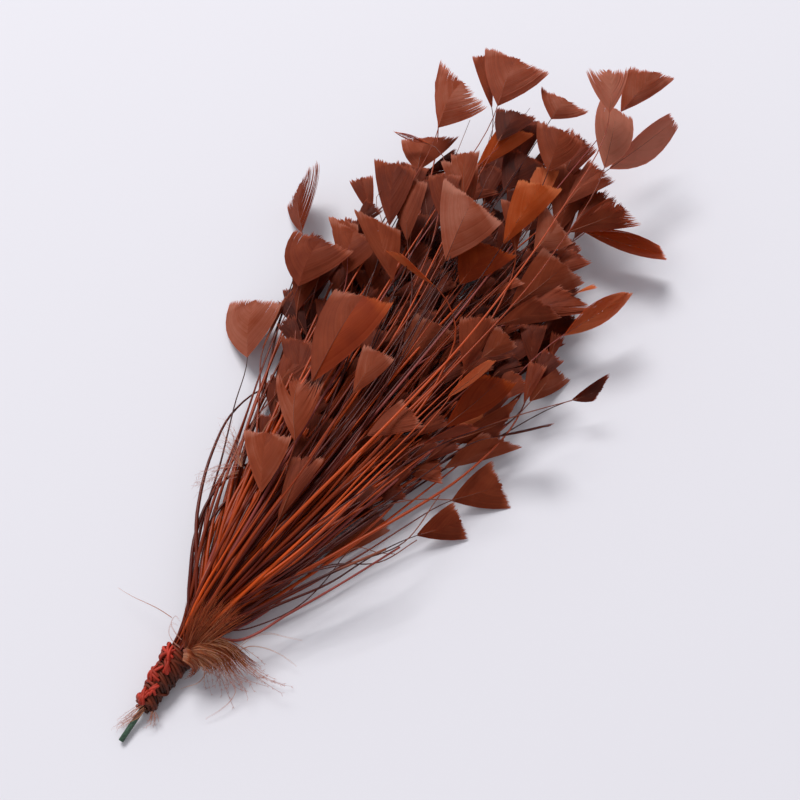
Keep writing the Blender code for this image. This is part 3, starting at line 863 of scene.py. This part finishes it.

# %% [markdown]
# Each row: the vane's start, its left and right corners in the picture, the height of its cut edge
# in centimetres, how frayed it is, and how light it is: its dye, and for one dark vane painted
# shade. The lightest are thin and sheer, with the brighter colour that paints their glow.

# %% Feathers made out in the picture
SEEN = (
    ((438, 122), (434, 80), (439, 78), 3.6, 0.5, 0.3),
    ((412, 205), (395, 165), (428, 168), 3.0, 0.3, 0.35),
    ((430, 235), (405, 178), (440, 180), 2.2, 0.3, 0.25),
    ((408, 262), (398, 212), (432, 215), 2.0, 0.3, 0.3),
    ((520, 165), (497, 128), (545, 122), 3.0, 0.3, 0.2),
    ((560, 185), (572, 128), (598, 150), 3.4, 0.5, 0.45),
    ((565, 205), (590, 158), (616, 182), 3.6, 0.5, 0.5),
    ((575, 225), (592, 185), (612, 200), 3.0, 0.4, 0.35),
    ((535, 215), (530, 165), (560, 170), 3.6, 0.3, 0.8),
    ((585, 232), (605, 190), (642, 225), 3.0, 1.0, 0.5),
    ((340, 300), (322, 258), (362, 262), 1.6, 0.3, 0.3),
    ((372, 285), (358, 240), (390, 245), 2.4, 0.3, 0.35),
    ((437, 288), (384, 250), (402, 253), 4.6, 0.2, 0.9),
    ((375, 310), (352, 268), (392, 272), 1.8, 0.3, 0.3),
    ((480, 300), (517, 277), (525, 283), 3.0, 0.2, 0.6),
    ((515, 320), (560, 285), (598, 312), 2.6, 0.5, 0.45),
    ((574, 294), (594, 284), (597, 288), 3.4, 0.2, 0.9),
    ((545, 275), (570, 248), (592, 262), 2.8, 0.4, 0.4),
    # This dark, low vane stands in for shade behind the spray: painted shade.
    ((520, 350), (530, 325), (556, 335), 1.2, 0.3, 0.2),
    ((300, 400), (280, 335), (320, 345), 1.8, 0.3, 0.35),
    ((262, 350), (283, 300), (295, 286), 1.5, 0.3, 0.4),
    ((455, 430), (462, 395), (500, 412), 1.8, 0.2, 0.85),
    ((516, 252), (500, 198), (526, 206), 4.4, 0.2, 0.5),
    ((407, 241), (385, 172), (428, 182), 3.6, 0.3, 0.55),
    ((484, 205), (480, 166), (506, 170), 2.6, 0.4, 0.25),
    ((278, 520), (292, 456), (326, 458), 2.6, 0.3, 0.4),
    ((352, 262), (336, 228), (372, 236), 2.6, 0.3, 0.45),
)

SHEER_FROM = 0.8
parts = []
for k, (apex, left, right, height, fray, tone) in enumerate(SEEN):
    rng = np.random.default_rng(300 + k)
    low, mid, high = np.array([0.8, 0.97, 1.03]) * height * CM
    one = placed_feather(seen_at(apex, low), seen_at(left, mid), seen_at(right, high), rng)
    finish = SHEER_GLOW if tone >= SHEER_FROM else BARBS
    parts += feather_parts(one, 400 + k, fray, tone, rng.uniform(0.1, 0.9), finish=finish)
total = make_piece("feathers_behind", parts, finishes)
print(len(SEEN), "more feathers,", total, "triangles")

# %% [markdown]
# The rest fill the depth of the spray, where only a corner or a dark edge shows between the
# others. Laid out in rows they would look planted, so random spots are drawn inside an outline of
# the spray, and one too near another is dropped. A second layer lies lower, with wider vanes.

# %% Spots in the depth
DEPTH_ZONE = (
    (300, 260), (385, 175), (440, 168), (485, 150), (530, 130), (575, 150), (598, 215), (576, 250),
    (576, 300), (572, 340), (550, 370), (470, 450), (360, 510), (250, 450), (290, 360),
)
LOW_ZONE = (
    (300, 290), (420, 230), (560, 240), (560, 330), (480, 410), (380, 480), (300, 550), (240, 560),
    (270, 430),
)
DEPTH_COUNT = 130
TRIES = 4000


def inside(pixels, outline):
    """True where a pixel lies inside the outline: its row is crossed an odd number of times to its
    right."""
    a, b = np.array(outline, float), np.roll(np.array(outline, float), -1, axis=0)
    x, y = pixels[:, None, 0], pixels[:, None, 1]
    crossing = (a[:, 1] > y) != (b[:, 1] > y)
    at = a[:, 0] + (y - a[:, 1]) / (b[:, 1] - a[:, 1] + 1e-9) * (b[:, 0] - a[:, 0])
    return (crossing & (x < at)).sum(axis=1) % 2 == 1


def scattered(rng, outline, low, high, apart):
    """Random pixels of a box that lie inside the outline, each this far from those before it."""
    tries = rng.uniform(low, high, (TRIES, 2))
    kept = []
    for spot in tries[inside(tries, outline)]:
        if all(np.hypot(*(spot - other)) > apart for other in kept):
            kept.append(spot)
    return kept


rng = np.random.default_rng(77)
spots = scattered(rng, DEPTH_ZONE, (240, 110), (640, 540), 17.5)[:DEPTH_COUNT]
low_spots = scattered(rng, LOW_ZONE, (240, 220), (580, 580), 22)
lying_from = len(spots)
spots = np.vstack([spots, low_spots])
print(lying_from, "spots in the depth and", len(low_spots), "low ones")

# %% [markdown]
# A vane at each spot points away from the place in the picture where the quills come together, and
# is turned a little at random. The ones near that place are lower.

# %% Feathers in the depth
FAN_FROM = np.array([200.0, 640.0])
parts = []
for k, spot in enumerate(spots):
    lying = k >= lying_from
    way = spot - FAN_FROM
    reach = np.hypot(*way)
    way = way / reach
    turn = rng.normal(0, 0.35)
    cos, sin = math.cos(turn), math.sin(turn)
    way = np.array([way[0] * cos - way[1] * sin, way[0] * sin + way[1] * cos])
    side = np.array([-way[1], way[0]])
    length = rng.uniform(26, 44)
    half = length * rng.uniform(0.22, 0.42)
    height = rng.uniform(0.5, 0.75) * np.interp(reach, [150, 550], [2.0, 3.4]) * CM
    if lying:
        length, half, height = length * 1.4, half * 1.6, rng.uniform(0.25, 0.8) * CM
    apex = spot - way * length * 0.5
    left, right = (apex + way * length + side * half * sign for sign in (-1, 1))
    corners = seen_at(apex, height * 0.8), seen_at(left, height), seen_at(right, height * 1.1)
    one = placed_feather(*corners, rng)
    # These are feathers of the spray, but their darker tones are painted shade for the depth inside
    # it, darkest on the low ones; their quills are darker too.
    shade = rng.uniform(0.0, 0.25) if lying else rng.uniform(0.1, 0.45)
    parts += feather_parts(one, 600 + k, rng.uniform(0.2, 0.6), shade, rng.uniform(0, 0.6), 6)

# A feather is three parts, so a third of all the feathers is this many parts.
third = len(parts) // 9 * 3
shares = {"first": parts[:third], "second": parts[third : 2 * third], "low": parts[2 * third :]}
for label, share in shares.items():
    total = make_piece("feathers_deep_" + label, share, finishes)
    print("feathers_deep_" + label, "has", total, "triangles")

# %% [markdown]
# The wire
#
# The handle ends in a short bare piece of green wire, cut off square. It is florist's wire, wrapped
# in thin paper. The solid could be painted as it is, but drawn as a tube with six rings it gets the
# small burr of a cut at its ends.

# %% Wire
# Crepe paper has a grain of about a third of a millimetre, drawn twice as coarse so that it shows.
FLECK_SIZE = 0.67 * MM
WIRE_ENDS = np.array([0.0, 0.15, 6.0, 20.0, 37.8, 38.0]) * MM
WIRE_RADII = np.array([0.8, 1.0, 1.0, 1.0, 1.0, 0.8]) * MM


def green_wire():
    """Paper-wrapped florist's wire, dark green and dull, with fine flecks."""
    tree = new_material("green wire")
    colour = ramp(tree, noise(tree, FLECK_SIZE, 2.0), ((0.3, "#22382A"), (0.7, "#3E5E48")))
    shown(tree, add(tree, "BsdfPrincipled", {"Base Color": colour, "Roughness": 0.6}))
    return "green wire"


WIRE = green_wire()
ends = drawn_tight(on_handle(WIRE_ENDS))
wire_tube = round_tubes(ends[None], WIRE_RADII[None], 14, WIRE)
print("wire:", make_piece("clipped_wire", [wire_tube], [WIRE], "stem_wire"), "triangles")

# %% [markdown]
# The binding
#
# The quills' ends are wound round with dyed thread, many turns laid at a slant, with a few crossing
# the others. The thread is waxed, so it is neither fluffy nor glossy. Where it stands up into the
# light it looks bright red, and between the turns it looks brown, so that light and shade are
# painted into its colour through "tone".

# %% Thread material


def dyed_thread():
    """Waxed thread, dark red; its tone carries painted highlights and painted shade."""
    tree = new_material("dyed thread")
    colour = ramp(tree, number(tree, "tone"), (
        (0.0, "#2E1408"), (0.35, "#6E2A12"), (0.65, "#982A18"), (1.0, "#C83A28"),
    ))
    shown(tree, add(tree, "BsdfPrincipled", {
        "Base Color": colour,
        "Roughness": 0.6,
        "Specular IOR Level": 0.3,
    }))
    return "dyed thread"


THREAD = dyed_thread()
print("materials so far:", [material.name for material in bpy.data.materials])

# %% [markdown]
# The solid binding is lumpy, and its underside is pressed flat where the spray rests on it. Its
# outline is read back as a radius for each distance along the handle, and drawn tight with the
# quills. A thread could be a pattern of bumps on that surface, but its outline would stay smooth, so
# real turns run over it.

# %% The winding's surface
THREAD_RADIUS = 0.6 * MM
WOUND_TO = 36.5 * MM
LUMPS = ((16.0, 1.1), (24.0, 1.2), (32.5, 0.9))
LUMP_LENGTH = 2.6 * MM
LEAST_IN_ROW = 12
OUTERMOST = 16

binding_corners = corners_of("thread_binding")[0] - WIRE_TIP
binding_along = binding_corners @ HANDLE_ALONG
binding_out = np.linalg.norm(binding_corners - np.outer(binding_along, HANDLE_ALONG), axis=1)
binding_at = binding_along.round(4)
BINDING_ROWS = np.unique(binding_at)
BINDING_ROWS = BINDING_ROWS[[(binding_at == row).sum() > LEAST_IN_ROW for row in BINDING_ROWS]]
BINDING_RADII = np.array(
    [np.median(np.sort(binding_out[binding_at == row])[-OUTERMOST:]) for row in BINDING_ROWS]
)
BINDING_RADII *= np.linspace(0.78, 0.98, len(BINDING_ROWS))
print("binding", BINDING_ROWS.round(3), BINDING_RADII.round(4))


def on_binding(along, angle, lift=0.0):
    """A point over the binding: handle's line at along + (radius + lumps + lift) in the direction
    angle, where 0 is right and a quarter turn is up. A lump is height * exp(-(distance / length)^2).
    What would reach into the floor is laid on it."""
    radius = np.interp(along, BINDING_ROWS, BINDING_RADII) + lift / DRAWN_IN
    for centre, height in LUMPS:
        radius = radius + height * MM * np.exp(-(((along - centre * MM) / LUMP_LENGTH) ** 2))
    places = drawn_tight(on_handle(along, radius * np.cos(angle), radius * np.sin(angle)))
    places[..., 2] = np.maximum(places[..., 2], THREAD_RADIUS + FLOOR_GAP)
    return places


# %% [markdown]
# One close winding covers the quills' ends, and two wider ones cross it. Each row: millimetres
# along the handle to a turn (a minus sign winds the other way), slant, lift, shade, and where it
# starts. A hand winds unevenly, so the lift and the thickness wander a little.

# %% Thread winding
WINDINGS = (
    (1.2, 2.6, -0.1, 0.28, 0.0),
    (-3.4, 3.0, 0.25, 0.36, 1.0),
    (4.2, -2.4, 0.1, 0.3, 2.5),
)
STEPS_A_TURN = 30
WANDER_EVERY = 7

rng = np.random.default_rng(5)
parts = []
for pitch, slant, lift, shade, phase in WINDINGS:
    laps = (WOUND_TO - BINDING_START - 1.6 * MM) / (abs(pitch) * MM)
    steps = int(laps * STEPS_A_TURN)
    t = np.linspace(0, 1, steps)
    angle = phase + np.sign(pitch) * t * laps * math.tau
    knots = np.arange(0, steps + WANDER_EVERY, WANDER_EVERY)
    wander = np.interp(np.arange(steps), knots, rng.normal(0, 1, len(knots)))
    along = BINDING_START + 0.8 * MM + t * laps * abs(pitch) * MM
    along = along + slant * MM * np.sin(angle - 0.6) * np.sin(t * math.pi) ** 0.4
    line = on_binding(along, angle, (lift + 0.26 * wander) * MM)
    # Painted light and shade: each turn is lighter on the handle's left side and darker on its
    # right, the shade side, plus a little random wander.
    tone = np.clip(shade - 0.2 * np.cos(angle) + 0.1 * wander, 0, 1)
    thick = THREAD_RADIUS * (1 + 0.14 * np.roll(wander, 40))
    parts.append(round_tubes(line[None], thick[None], 6, THREAD, tone=tone[None]))
    print("a winding of", round(laps, 1), "laps")

# %% [markdown]
# Loops stand up on top where the turns were pulled tight and knotted. Each row: millimetres along
# the handle, direction round it, and size in millimetres. A knot is six short arches laid across
# each other, given bright tones as painted highlight. A plain core, painted dark as shade, closes
# the gaps between the turns.

# %% Knots and core
KNOTS = ((16.5, 1.75, 2.6), (24.5, 2.0, 2.8), (32.5, 1.9, 3.0), (20.5, 1.35, 1.8), (29.0, 1.4, 2.0))
LAPS_A_KNOT = 6
KNOT_THREAD = 0.55 * MM
CORE_SIDES = 28

t = np.linspace(-1, 1, 18)
for centre, facing, size in KNOTS:
    for lap in range(LAPS_A_KNOT):
        spin = rng.uniform(-0.7, 1.4)
        reach = size * MM * rng.uniform(0.8, 1.15)
        along = centre * MM + reach * t * math.cos(spin) + rng.normal(0, 0.5) * MM
        round_way = facing + reach * t * math.sin(spin) / (5 * MM) + rng.normal(0, 0.1)
        arch = on_binding(along, round_way, (0.3 + 1.0 * (1 - t**2) + 0.12 * lap) * MM)
        # Painted highlight: the knots stand up into the light, so their thread gets a bright tone.
        bright = rng.uniform(0.55, 0.92)
        parts.append(round_tubes(arch[None], KNOT_THREAD, 6, THREAD, tone=bright))

core_at = np.linspace(BINDING_START + 0.3 * MM, WOUND_TO - 0.4 * MM, 24)
core_turn = np.arange(CORE_SIDES) * math.tau / CORE_SIDES
core = on_binding(core_at[:, None], core_turn[None, :], -0.6 * MM)
# The core's low tone is painted shade in the gaps between the turns.
parts.append(skin(core[None], THREAD, True, 0.5, 0.12))
total = make_piece("wound_binding", parts, [THREAD], "thread_binding")
print("thread in the binding:", total, "triangles")

# %% [markdown]
# Down and loose barbs
#
# At the quills' roots a goose feather has down: soft barbs with no hooks, that never form a sheet.
# A curl of it hangs out at the binding's mouth, and thin wisps of it cling elsewhere. A fluffy ball
# would hide how it lies, so each barb is a fine tube along a smooth line, and the lines are blends
# of a few guide lines given in the picture. Down takes little dye: it is orange where it is dense,
# and pinkish at its loose ends, where light comes through.

# %% Down material


def dyed_down():
    """Loose keratin fibres, pale orange to pinkish brown, lit through."""
    tree = new_material("dyed down")
    colour = ramp(tree, number(tree, "tone"), (
        (0.0, "#83330F"), (0.35, "#C4602A"), (0.7, "#E2A878"), (1.0, "#CC9088"),
    ))
    surface = add(tree, "BsdfPrincipled", {
        "Base Color": colour,
        "Roughness": 0.7,
        "Sheen Weight": 0.3,
    })
    shown(tree, surface, colour, 0.5)
    return "dyed down"


DOWN = dyed_down()


def picture_line(rows):
    """Points from (pixel across, pixel down, height in centimetres) rows."""
    rows = np.array(rows, float)
    return seen_at(rows[..., :2], rows[..., 2] * CM)


print("the binding's mouth is near", picture_line((190, 648, 1.4)).round(3))

# %% [markdown]
# A few guide lines are enough, because down hangs in one direction: every barb lies between two of
# them. Barbs part more and more towards their loose ends, and each carries fine hairs.

# %% Lines between guides
FIBRE_GAP = 0.3 * MM
HAIR_GAP = 0.2 * MM
HAIR_RADII = np.array([0.05, 0.045, 0.04, 0.02]) * MM


def between(guides, count, rng, scatter, drop, ends, stations=14):
    """Lines blended between neighbouring guides, as (count, stations, 3), and each line's place
    among them (0 to 1). They scatter more towards their ends, lie up to drop lower, and stop at a
    share of the way between ends[0] and ends[1]."""
    share = rng.uniform(0, len(guides) - 1.001, count)
    low = share.astype(int)
    part_way = (share - low)[:, None, None]
    lines = guides[low] * (1 - part_way) + guides[low + 1] * part_way
    loose = np.linspace(0.15, 1, lines.shape[1])[:, None]
    lines = lines + rng.normal(0, scatter, (count, 1, 3)) * loose
    lines = lines + rng.normal(0, scatter / 2, lines.shape) * loose
    lines[..., 2] -= rng.uniform(0, drop, (count, 1)) * np.linspace(1, 0.2, lines.shape[1])
    stops = rng.uniform(*ends, count)
    lines = np.array([through(line, stations, 0.0, stop) for line, stop in zip(lines, stops)])
    lines[..., 2] = np.maximum(lines[..., 2], FIBRE_GAP)
    return lines, share / (len(guides) - 1)


def side_hairs(lines, each, length, rng, tone):
    """Fine hairs on lines, each leaving sideways and leaning towards the line's end: root + reach *
    (t * sideways + (t + t^2) * 0.6 * along)."""
    way = np.repeat(unit(np.gradient(lines, axis=1))[:, 2:].reshape(-1, 3), each, axis=0)
    root = np.repeat(lines[:, 2:].reshape(-1, 3), each, axis=0)
    away = unit(np.cross(way, rng.normal(0, 1, root.shape)))
    t = np.linspace(0, 1, 4)[:, None]
    reach = rng.uniform(0.3, 1.0, len(root))[:, None, None] * length
    hairs = root[:, None] + reach * (t * away[:, None] + (t + t**2) * 0.6 * way[:, None])
    hairs[..., 2] = np.maximum(hairs[..., 2], HAIR_GAP)
    return round_tubes(hairs, HAIR_RADII, 3, DOWN, False, 0.5, tone)


def barbs_along(lines, thick, tone):
    """Barbs of down along lines, thinning to a point."""
    thin = np.linspace(1, 0.25, lines.shape[1]) * np.reshape(thick, (-1, 1)) * MM
    return round_tubes(lines, thin, 3, DOWN, False, 0.5, np.clip(tone, 0, 1))


print("a hair of down is drawn", round(2 * HAIR_RADII.max() / MM, 2), "mm thick, so that it shows")

# %% [markdown]
# The curl rises from the mouth, bends over to the right and falls to the floor. Most of its barbs
# are short and lie close. A few long ones wave, and carry the most hairs.

# %% The curl of down
PLUME_GUIDES = picture_line((
    ((187, 660, 1.0), (194, 661, 1.5), (202, 665, 1.2), (210, 675, 0.8), (210, 690, 0.2)),
    ((186, 656, 1.2), (198, 654, 1.7), (210, 661, 1.4), (219, 675, 0.8), (224, 692, 0.3)),
    ((186, 652, 1.3), (202, 649, 1.8), (217, 656, 1.5), (228, 671, 0.9), (249, 701, 0.2)),
    ((186, 648, 1.3), (206, 644, 1.8), (223, 651, 1.4), (235, 666, 0.9), (268, 704, 0.2)),
    ((187, 643, 1.3), (209, 640, 1.8), (227, 647, 1.3), (244, 662, 0.8), (286, 687, 0.3)),
    ((189, 639, 1.3), (211, 637, 1.7), (232, 645, 1.2), (256, 664, 0.6), (303, 681, 0.15)),
))
STATIONS = 14
SHORT_BARBS = 700
LONG_BARBS = 40

rng = np.random.default_rng(9)
t = np.linspace(0, 1, STATIONS)
short, place = between(PLUME_GUIDES, SHORT_BARBS, rng, 0.8 * MM, 3.5 * MM, (0.28, 0.68))
# Painted highlight: the short barbs are lighter, tan, near the mouth where light falls on the curl,
# and a little darker at their ends.
fade = np.interp(t, [0, 0.35, 1], [0.22, 0.1, -0.1])
shade = 0.56 - 0.25 * place[:, None] + fade + rng.normal(0, 0.08, (SHORT_BARBS, 1))
parts = [barbs_along(short, rng.uniform(0.13, 0.27, SHORT_BARBS), shade)]
parts.append(side_hairs(short[::4], 1, 1.6 * MM, rng, 0.5))

long, place = between(PLUME_GUIDES, LONG_BARBS, rng, 1.8 * MM, 1.5 * MM, (0.72, 1.0))
size = (LONG_BARBS, 1, 3)
waves = np.sin(t[:, None] * rng.uniform(4, 9, size) + rng.uniform(0, 6, size))
long = np.maximum(long + waves * t[:, None] ** 2 * 1.8 * MM, [-1, -1, FIBRE_GAP])
parts.append(barbs_along(long, rng.uniform(0.12, 0.24, LONG_BARBS), np.linspace(0.5, 1.0, STATIONS)))
parts.append(side_hairs(long, 4, 0.9 * MM, rng, 0.95))
print("the curl:", sum(len(part["faces"]) for part in parts), "triangles")

# %% [markdown]
# The same down covers the lowest part of the quills in front of the mouth, and a small tuft of it is
# caught under the last turns.

# %% Down over the quills' roots
ROOT_BARBS = 380
TUFT_BARBS = 110
ROOT_GUIDES = picture_line((
    ((184, 645, 1.4), (188, 630, 1.9), (194, 612, 2.2), (201, 594, 2.4)),
    ((188, 647, 1.5), (196, 630, 2.1), (207, 612, 2.4), (218, 595, 2.5)),
    ((192, 649, 1.6), (206, 632, 2.1), (220, 617, 2.3), (236, 600, 2.4)),
    ((196, 650, 1.4), (213, 637, 1.9), (231, 625, 2.1), (250, 612, 2.1)),
))
fluff, place = between(ROOT_GUIDES, ROOT_BARBS, rng, 2.0 * MM, 3.5 * MM, (0.35, 1.0))
shade = rng.normal(0.22, 0.14, (ROOT_BARBS, 1)) + np.linspace(0.12, 0, STATIONS)
parts.append(barbs_along(fluff, 0.15, shade))
MOUTH_GUIDES = picture_line((
    ((184, 650, 1.6), (189, 650, 1.9), (194, 656, 1.6), (195, 664, 1.1), (190, 669, 0.7)),
    ((184, 655, 1.6), (190, 656, 1.9), (197, 662, 1.5), (197, 670, 0.9), (190, 674, 0.5)),
    ((183, 660, 1.5), (188, 663, 1.7), (193, 668, 1.2), (192, 674, 0.7), (186, 677, 0.4)),
))
tuft, place = between(MOUTH_GUIDES, TUFT_BARBS, rng, 0.5 * MM, 1.0 * MM, (0.6, 1.0))
thick = rng.uniform(0.2, 0.34, TUFT_BARBS)
shade = rng.normal(0.3, 0.12, (TUFT_BARBS, 1)) + np.linspace(0.15, -0.1, STATIONS)
parts.append(barbs_along(tuft, thick, shade))
total = make_piece("curl_of_down", parts, [DOWN], "down_plume")
print("all the down:", total, "triangles")

# %% [markdown]
# Bare quills
#
# Some quills have lost their vane, or show only as a bare dark line. Leaving them out would make
# the spray too tidy. Each row: the points that it passes in the picture with their height in
# centimetres, its radius at the mouth and at its end in millimetres, and how light it is. Their
# thick ends start in the binding like the rest.

# %% Bare quills
BARE_QUILLS = (
    (((255, 610, 1.7), (320, 578, 2.3), (386, 549, 2.4)), 0.75, 0.5, 0.0),
    (((240, 640, 1.2), (290, 613, 1.3), (337, 586, 1.6), (400, 547, 2.0)), 0.6, 0.4, 1.0),
    (((250, 628, 1.0), (300, 605, 1.2), (330, 575, 1.6), (345, 555, 1.8),
      (355, 548, 1.9), (380, 553, 1.8),
      (395, 554, 1.7)), 0.35, 0.15, 0.1),
    (((270, 590, 1.6), (330, 565, 2.0), (380, 562, 1.8), (417, 540, 1.6)), 0.4, 0.2, 0.1),
    (((300, 575, 2.0), (360, 560, 2.2), (400, 545, 2.0), (440, 495, 2.0)), 0.4, 0.2, 0.1),
    (((290, 570, 2.4), (350, 530, 2.6), (385, 506, 2.6), (412, 500, 2.4),
      (455, 500, 2.0)), 0.4, 0.2, 0.1),
    (((350, 500, 3.0), (430, 450, 3.0), (510, 418, 2.6), (577, 399, 2.4)), 0.4, 0.2, 0.1),
    (((330, 430, 3.0), (400, 280, 4.2), (445, 180, 4.2), (458, 150, 4.0),
      (470, 120, 3.9)), 0.4, 0.12, 0.05),
    (((350, 430, 3.0), (440, 280, 4.2), (478, 180, 4.2), (486, 150, 4.0),
      (496, 118, 3.9)), 0.4, 0.12, 0.05),
    (((360, 430, 3.0), (450, 260, 4.0), (492, 170, 4.0), (514, 130, 3.8),
      (530, 108, 3.7)), 0.4, 0.12, 0.05),
    (((320, 430, 2.6), (365, 300, 3.4), (383, 225, 3.4), (377, 196, 3.4),
      (386, 186, 3.4), (396, 200, 3.3)),
     0.4, 0.12, 0.1),
)
parts = []
rng = np.random.default_rng(14)
QUILL_POINTS = 44
shares = np.linspace(0, 1, QUILL_POINTS)
for rows, thick, fine, tone in BARE_QUILLS:
    across, up = rng.uniform(-0.6, 1, 2) * MOUTH_PACK * 0.8
    start = on_handle(np.array([26, 42]) * MM, np.array([0.5, 1]) * across, np.array([0.5, 1]) * up)
    line = through(np.vstack([start, picture_line(rows)]), QUILL_POINTS)
    radii = np.interp(shares, [0, 0.2, 0.5, 1], [0.3, thick, (thick + fine) / 2, fine]) * MM
    line[:, 2] = np.maximum(line[:, 2], radii + FLOOR_GAP)
    parts.append(round_tubes(line[None], radii[None], QUILL_SIDES, QUILL, True, shares[None], tone))
total = make_piece("bare_quills", parts, [QUILL])
print(len(BARE_QUILLS), "bare quills,", total, "triangles")

# %% [markdown]
# Wisps
#
# Fine barbs have come off their quills and cling to them, and a few fibres stick out at the wire.
# They are so fine that only their lines matter, so single ones are given point by point, and tufts
# by a count, the length of their hairs in millimetres, and guide lines.

# %% Wisps
SINGLE_WISPS = picture_line((
    ((172, 618, 0.9), (160, 610, 1.0), (146, 603, 0.9), (133, 597, 0.7), (118, 588, 0.5)),
    ((180, 648, 1.2), (173, 642, 1.1), (169, 632, 1.1), (172, 624, 1.1), (178, 626, 1.2)),
    ((181, 640, 1.4), (175, 633, 1.5), (171, 622, 1.5), (175, 616, 1.5), (180, 622, 1.5)),
    ((251, 430, 2.4), (259, 417, 2.5), (268, 408, 2.6), (264, 398, 2.6), (256, 396, 2.5)),
    ((262, 434, 2.4), (268, 424, 2.4), (278, 414, 2.6), (280, 406, 2.6), (275, 400, 2.6)),
    ((238, 648, 1.2), (254, 637, 0.9), (270, 634, 0.6), (288, 638, 0.5), (303, 641, 0.4)),
    ((236, 652, 1.1), (250, 646, 0.8), (266, 648, 0.6), (282, 655, 0.5), (297, 666, 0.3)),
    ((206, 672, 0.8), (201, 680, 0.6), (195, 684, 0.4), (188, 686, 0.3), (180, 689, 0.2)),
    ((232, 680, 0.8), (236, 690, 0.6), (231, 700, 0.4), (221, 709, 0.3), (206, 718, 0.2)),
))
TUFTS = (
    (14, 3.0, (
        ((241, 466, 2.0), (230, 455, 2.0), (220, 449, 2.0), (213, 452, 1.8)),
        ((241, 466, 2.0), (230, 447, 2.1), (221, 438, 2.1), (216, 428, 1.9)),
        ((241, 466, 2.0), (237, 447, 2.1), (232, 431, 2.2), (224, 420, 2.0)),
        ((242, 464, 2.0), (243, 448, 2.1), (242, 433, 2.2), (237, 423, 2.2)),
    )),
    (11, 2.2, (
        ((239, 462, 1.9), (222, 463, 1.8), (206, 470, 1.6), (197, 474, 1.4)),
        ((238, 470, 1.8), (218, 474, 1.7), (203, 480, 1.5), (189, 484, 1.2)),
        ((237, 478, 1.8), (220, 484, 1.6), (204, 491, 1.4), (188, 496, 1.0)),
    )),
    (20, 0.8, (
        ((142, 702, 0.8), (132, 708, 0.7), (122, 716, 0.5), (113, 727, 0.3)),
        ((143, 706, 0.7), (133, 714, 0.5), (123, 722, 0.3), (112, 729, 0.2)),
        ((145, 709, 0.5), (137, 717, 0.4), (128, 721, 0.3), (117, 733, 0.2)),
    )),
    (10, 0.8, (
        ((150, 711, 0.6), (149, 717, 0.4), (147, 722, 0.3), (143, 727, 0.2)),
        ((154, 712, 0.6), (155, 718, 0.4), (154, 722, 0.3), (151, 727, 0.2)),
    )),
)
rng = np.random.default_rng(31)
lines = np.array([through(line, STATIONS) for line in SINGLE_WISPS])
lines = np.concatenate([lines, lines + rng.normal(0, 0.4 * MM, (len(lines), 1, 3))])
lines[..., 2] = np.maximum(lines[..., 2], FIBRE_GAP)
parts = [barbs_along(lines, 0.1, rng.uniform(0.7, 1.0, (len(lines), 1)))]
for count, hair, guides in TUFTS:
    lines, place = between(picture_line(guides), count, rng, 0.9 * MM, 1.0 * MM, (0.5, 1.0))
    parts.append(barbs_along(lines, 0.1, rng.uniform(0.65, 1.0, (count, 1))))
    parts.append(side_hairs(lines, 1, hair * MM, rng, 0.95))
total = make_piece("clinging_wisps", parts, [DOWN])
print("wisps:", total, "triangles")

# %% [markdown]
# The floor
#
# The spray lies on a plain pale surface. It is wide enough to fill every view, and rough, so that it
# shows soft shadows and no reflections.

# %% Floor
FLOOR_REACH = 30.0
floor_mesh = bpy.data.meshes.new("floor")
floor_signs = np.array([(-1, -1, 0), (1, -1, 0), (1, 1, 0), (-1, 1, 0)])
floor_mesh.from_pydata(floor_signs * FLOOR_REACH, [], [(0, 1, 2, 3)])
floor = bpy.data.objects.new("floor", floor_mesh)
bpy.context.scene.collection.objects.link(floor)
tree = new_material("pale floor")
shown(tree, add(tree, "BsdfPrincipled", {"Base Color": linear("#E0DFE5"), "Roughness": 0.9}))
floor_mesh.materials.append(bpy.data.materials["pale floor"])
print("the floor reaches", FLOOR_REACH, "m each way")

# %% [markdown]
# The light
#
# A studio picture needs light from everywhere, for pale shadows, and one large lamp, for their
# direction. A sun would draw hard edges. The lamp stands behind the spray on the left, so vanes
# that face away glow with the light that comes through them.

# %% Light
LAMP_AT = (-2.5, 1.9, 4.4)
world = bpy.data.worlds.new("even sky")
world.use_nodes = True
sky = world.node_tree.nodes["Background"]
sky.inputs["Color"].default_value = linear("#F2F0F5")
sky.inputs["Strength"].default_value = 0.52
bpy.context.scene.world = world

lamp_data = bpy.data.lights.new("window", "AREA")
lamp_data.shape = "RECTANGLE"
lamp_data.size = 2.6
lamp_data.size_y = 2.0
lamp_data.energy = 238.0
lamp = bpy.data.objects.new("window", lamp_data)
bpy.context.scene.collection.objects.link(lamp)
lamp.location = LAMP_AT
lamp.rotation_euler = (-Vector(LAMP_AT)).to_track_quat("-Z", "Y").to_euler()
bpy.context.scene.view_settings.view_transform = "Standard"
print("the lamp is", round(lamp.location.length, 1), "m away")
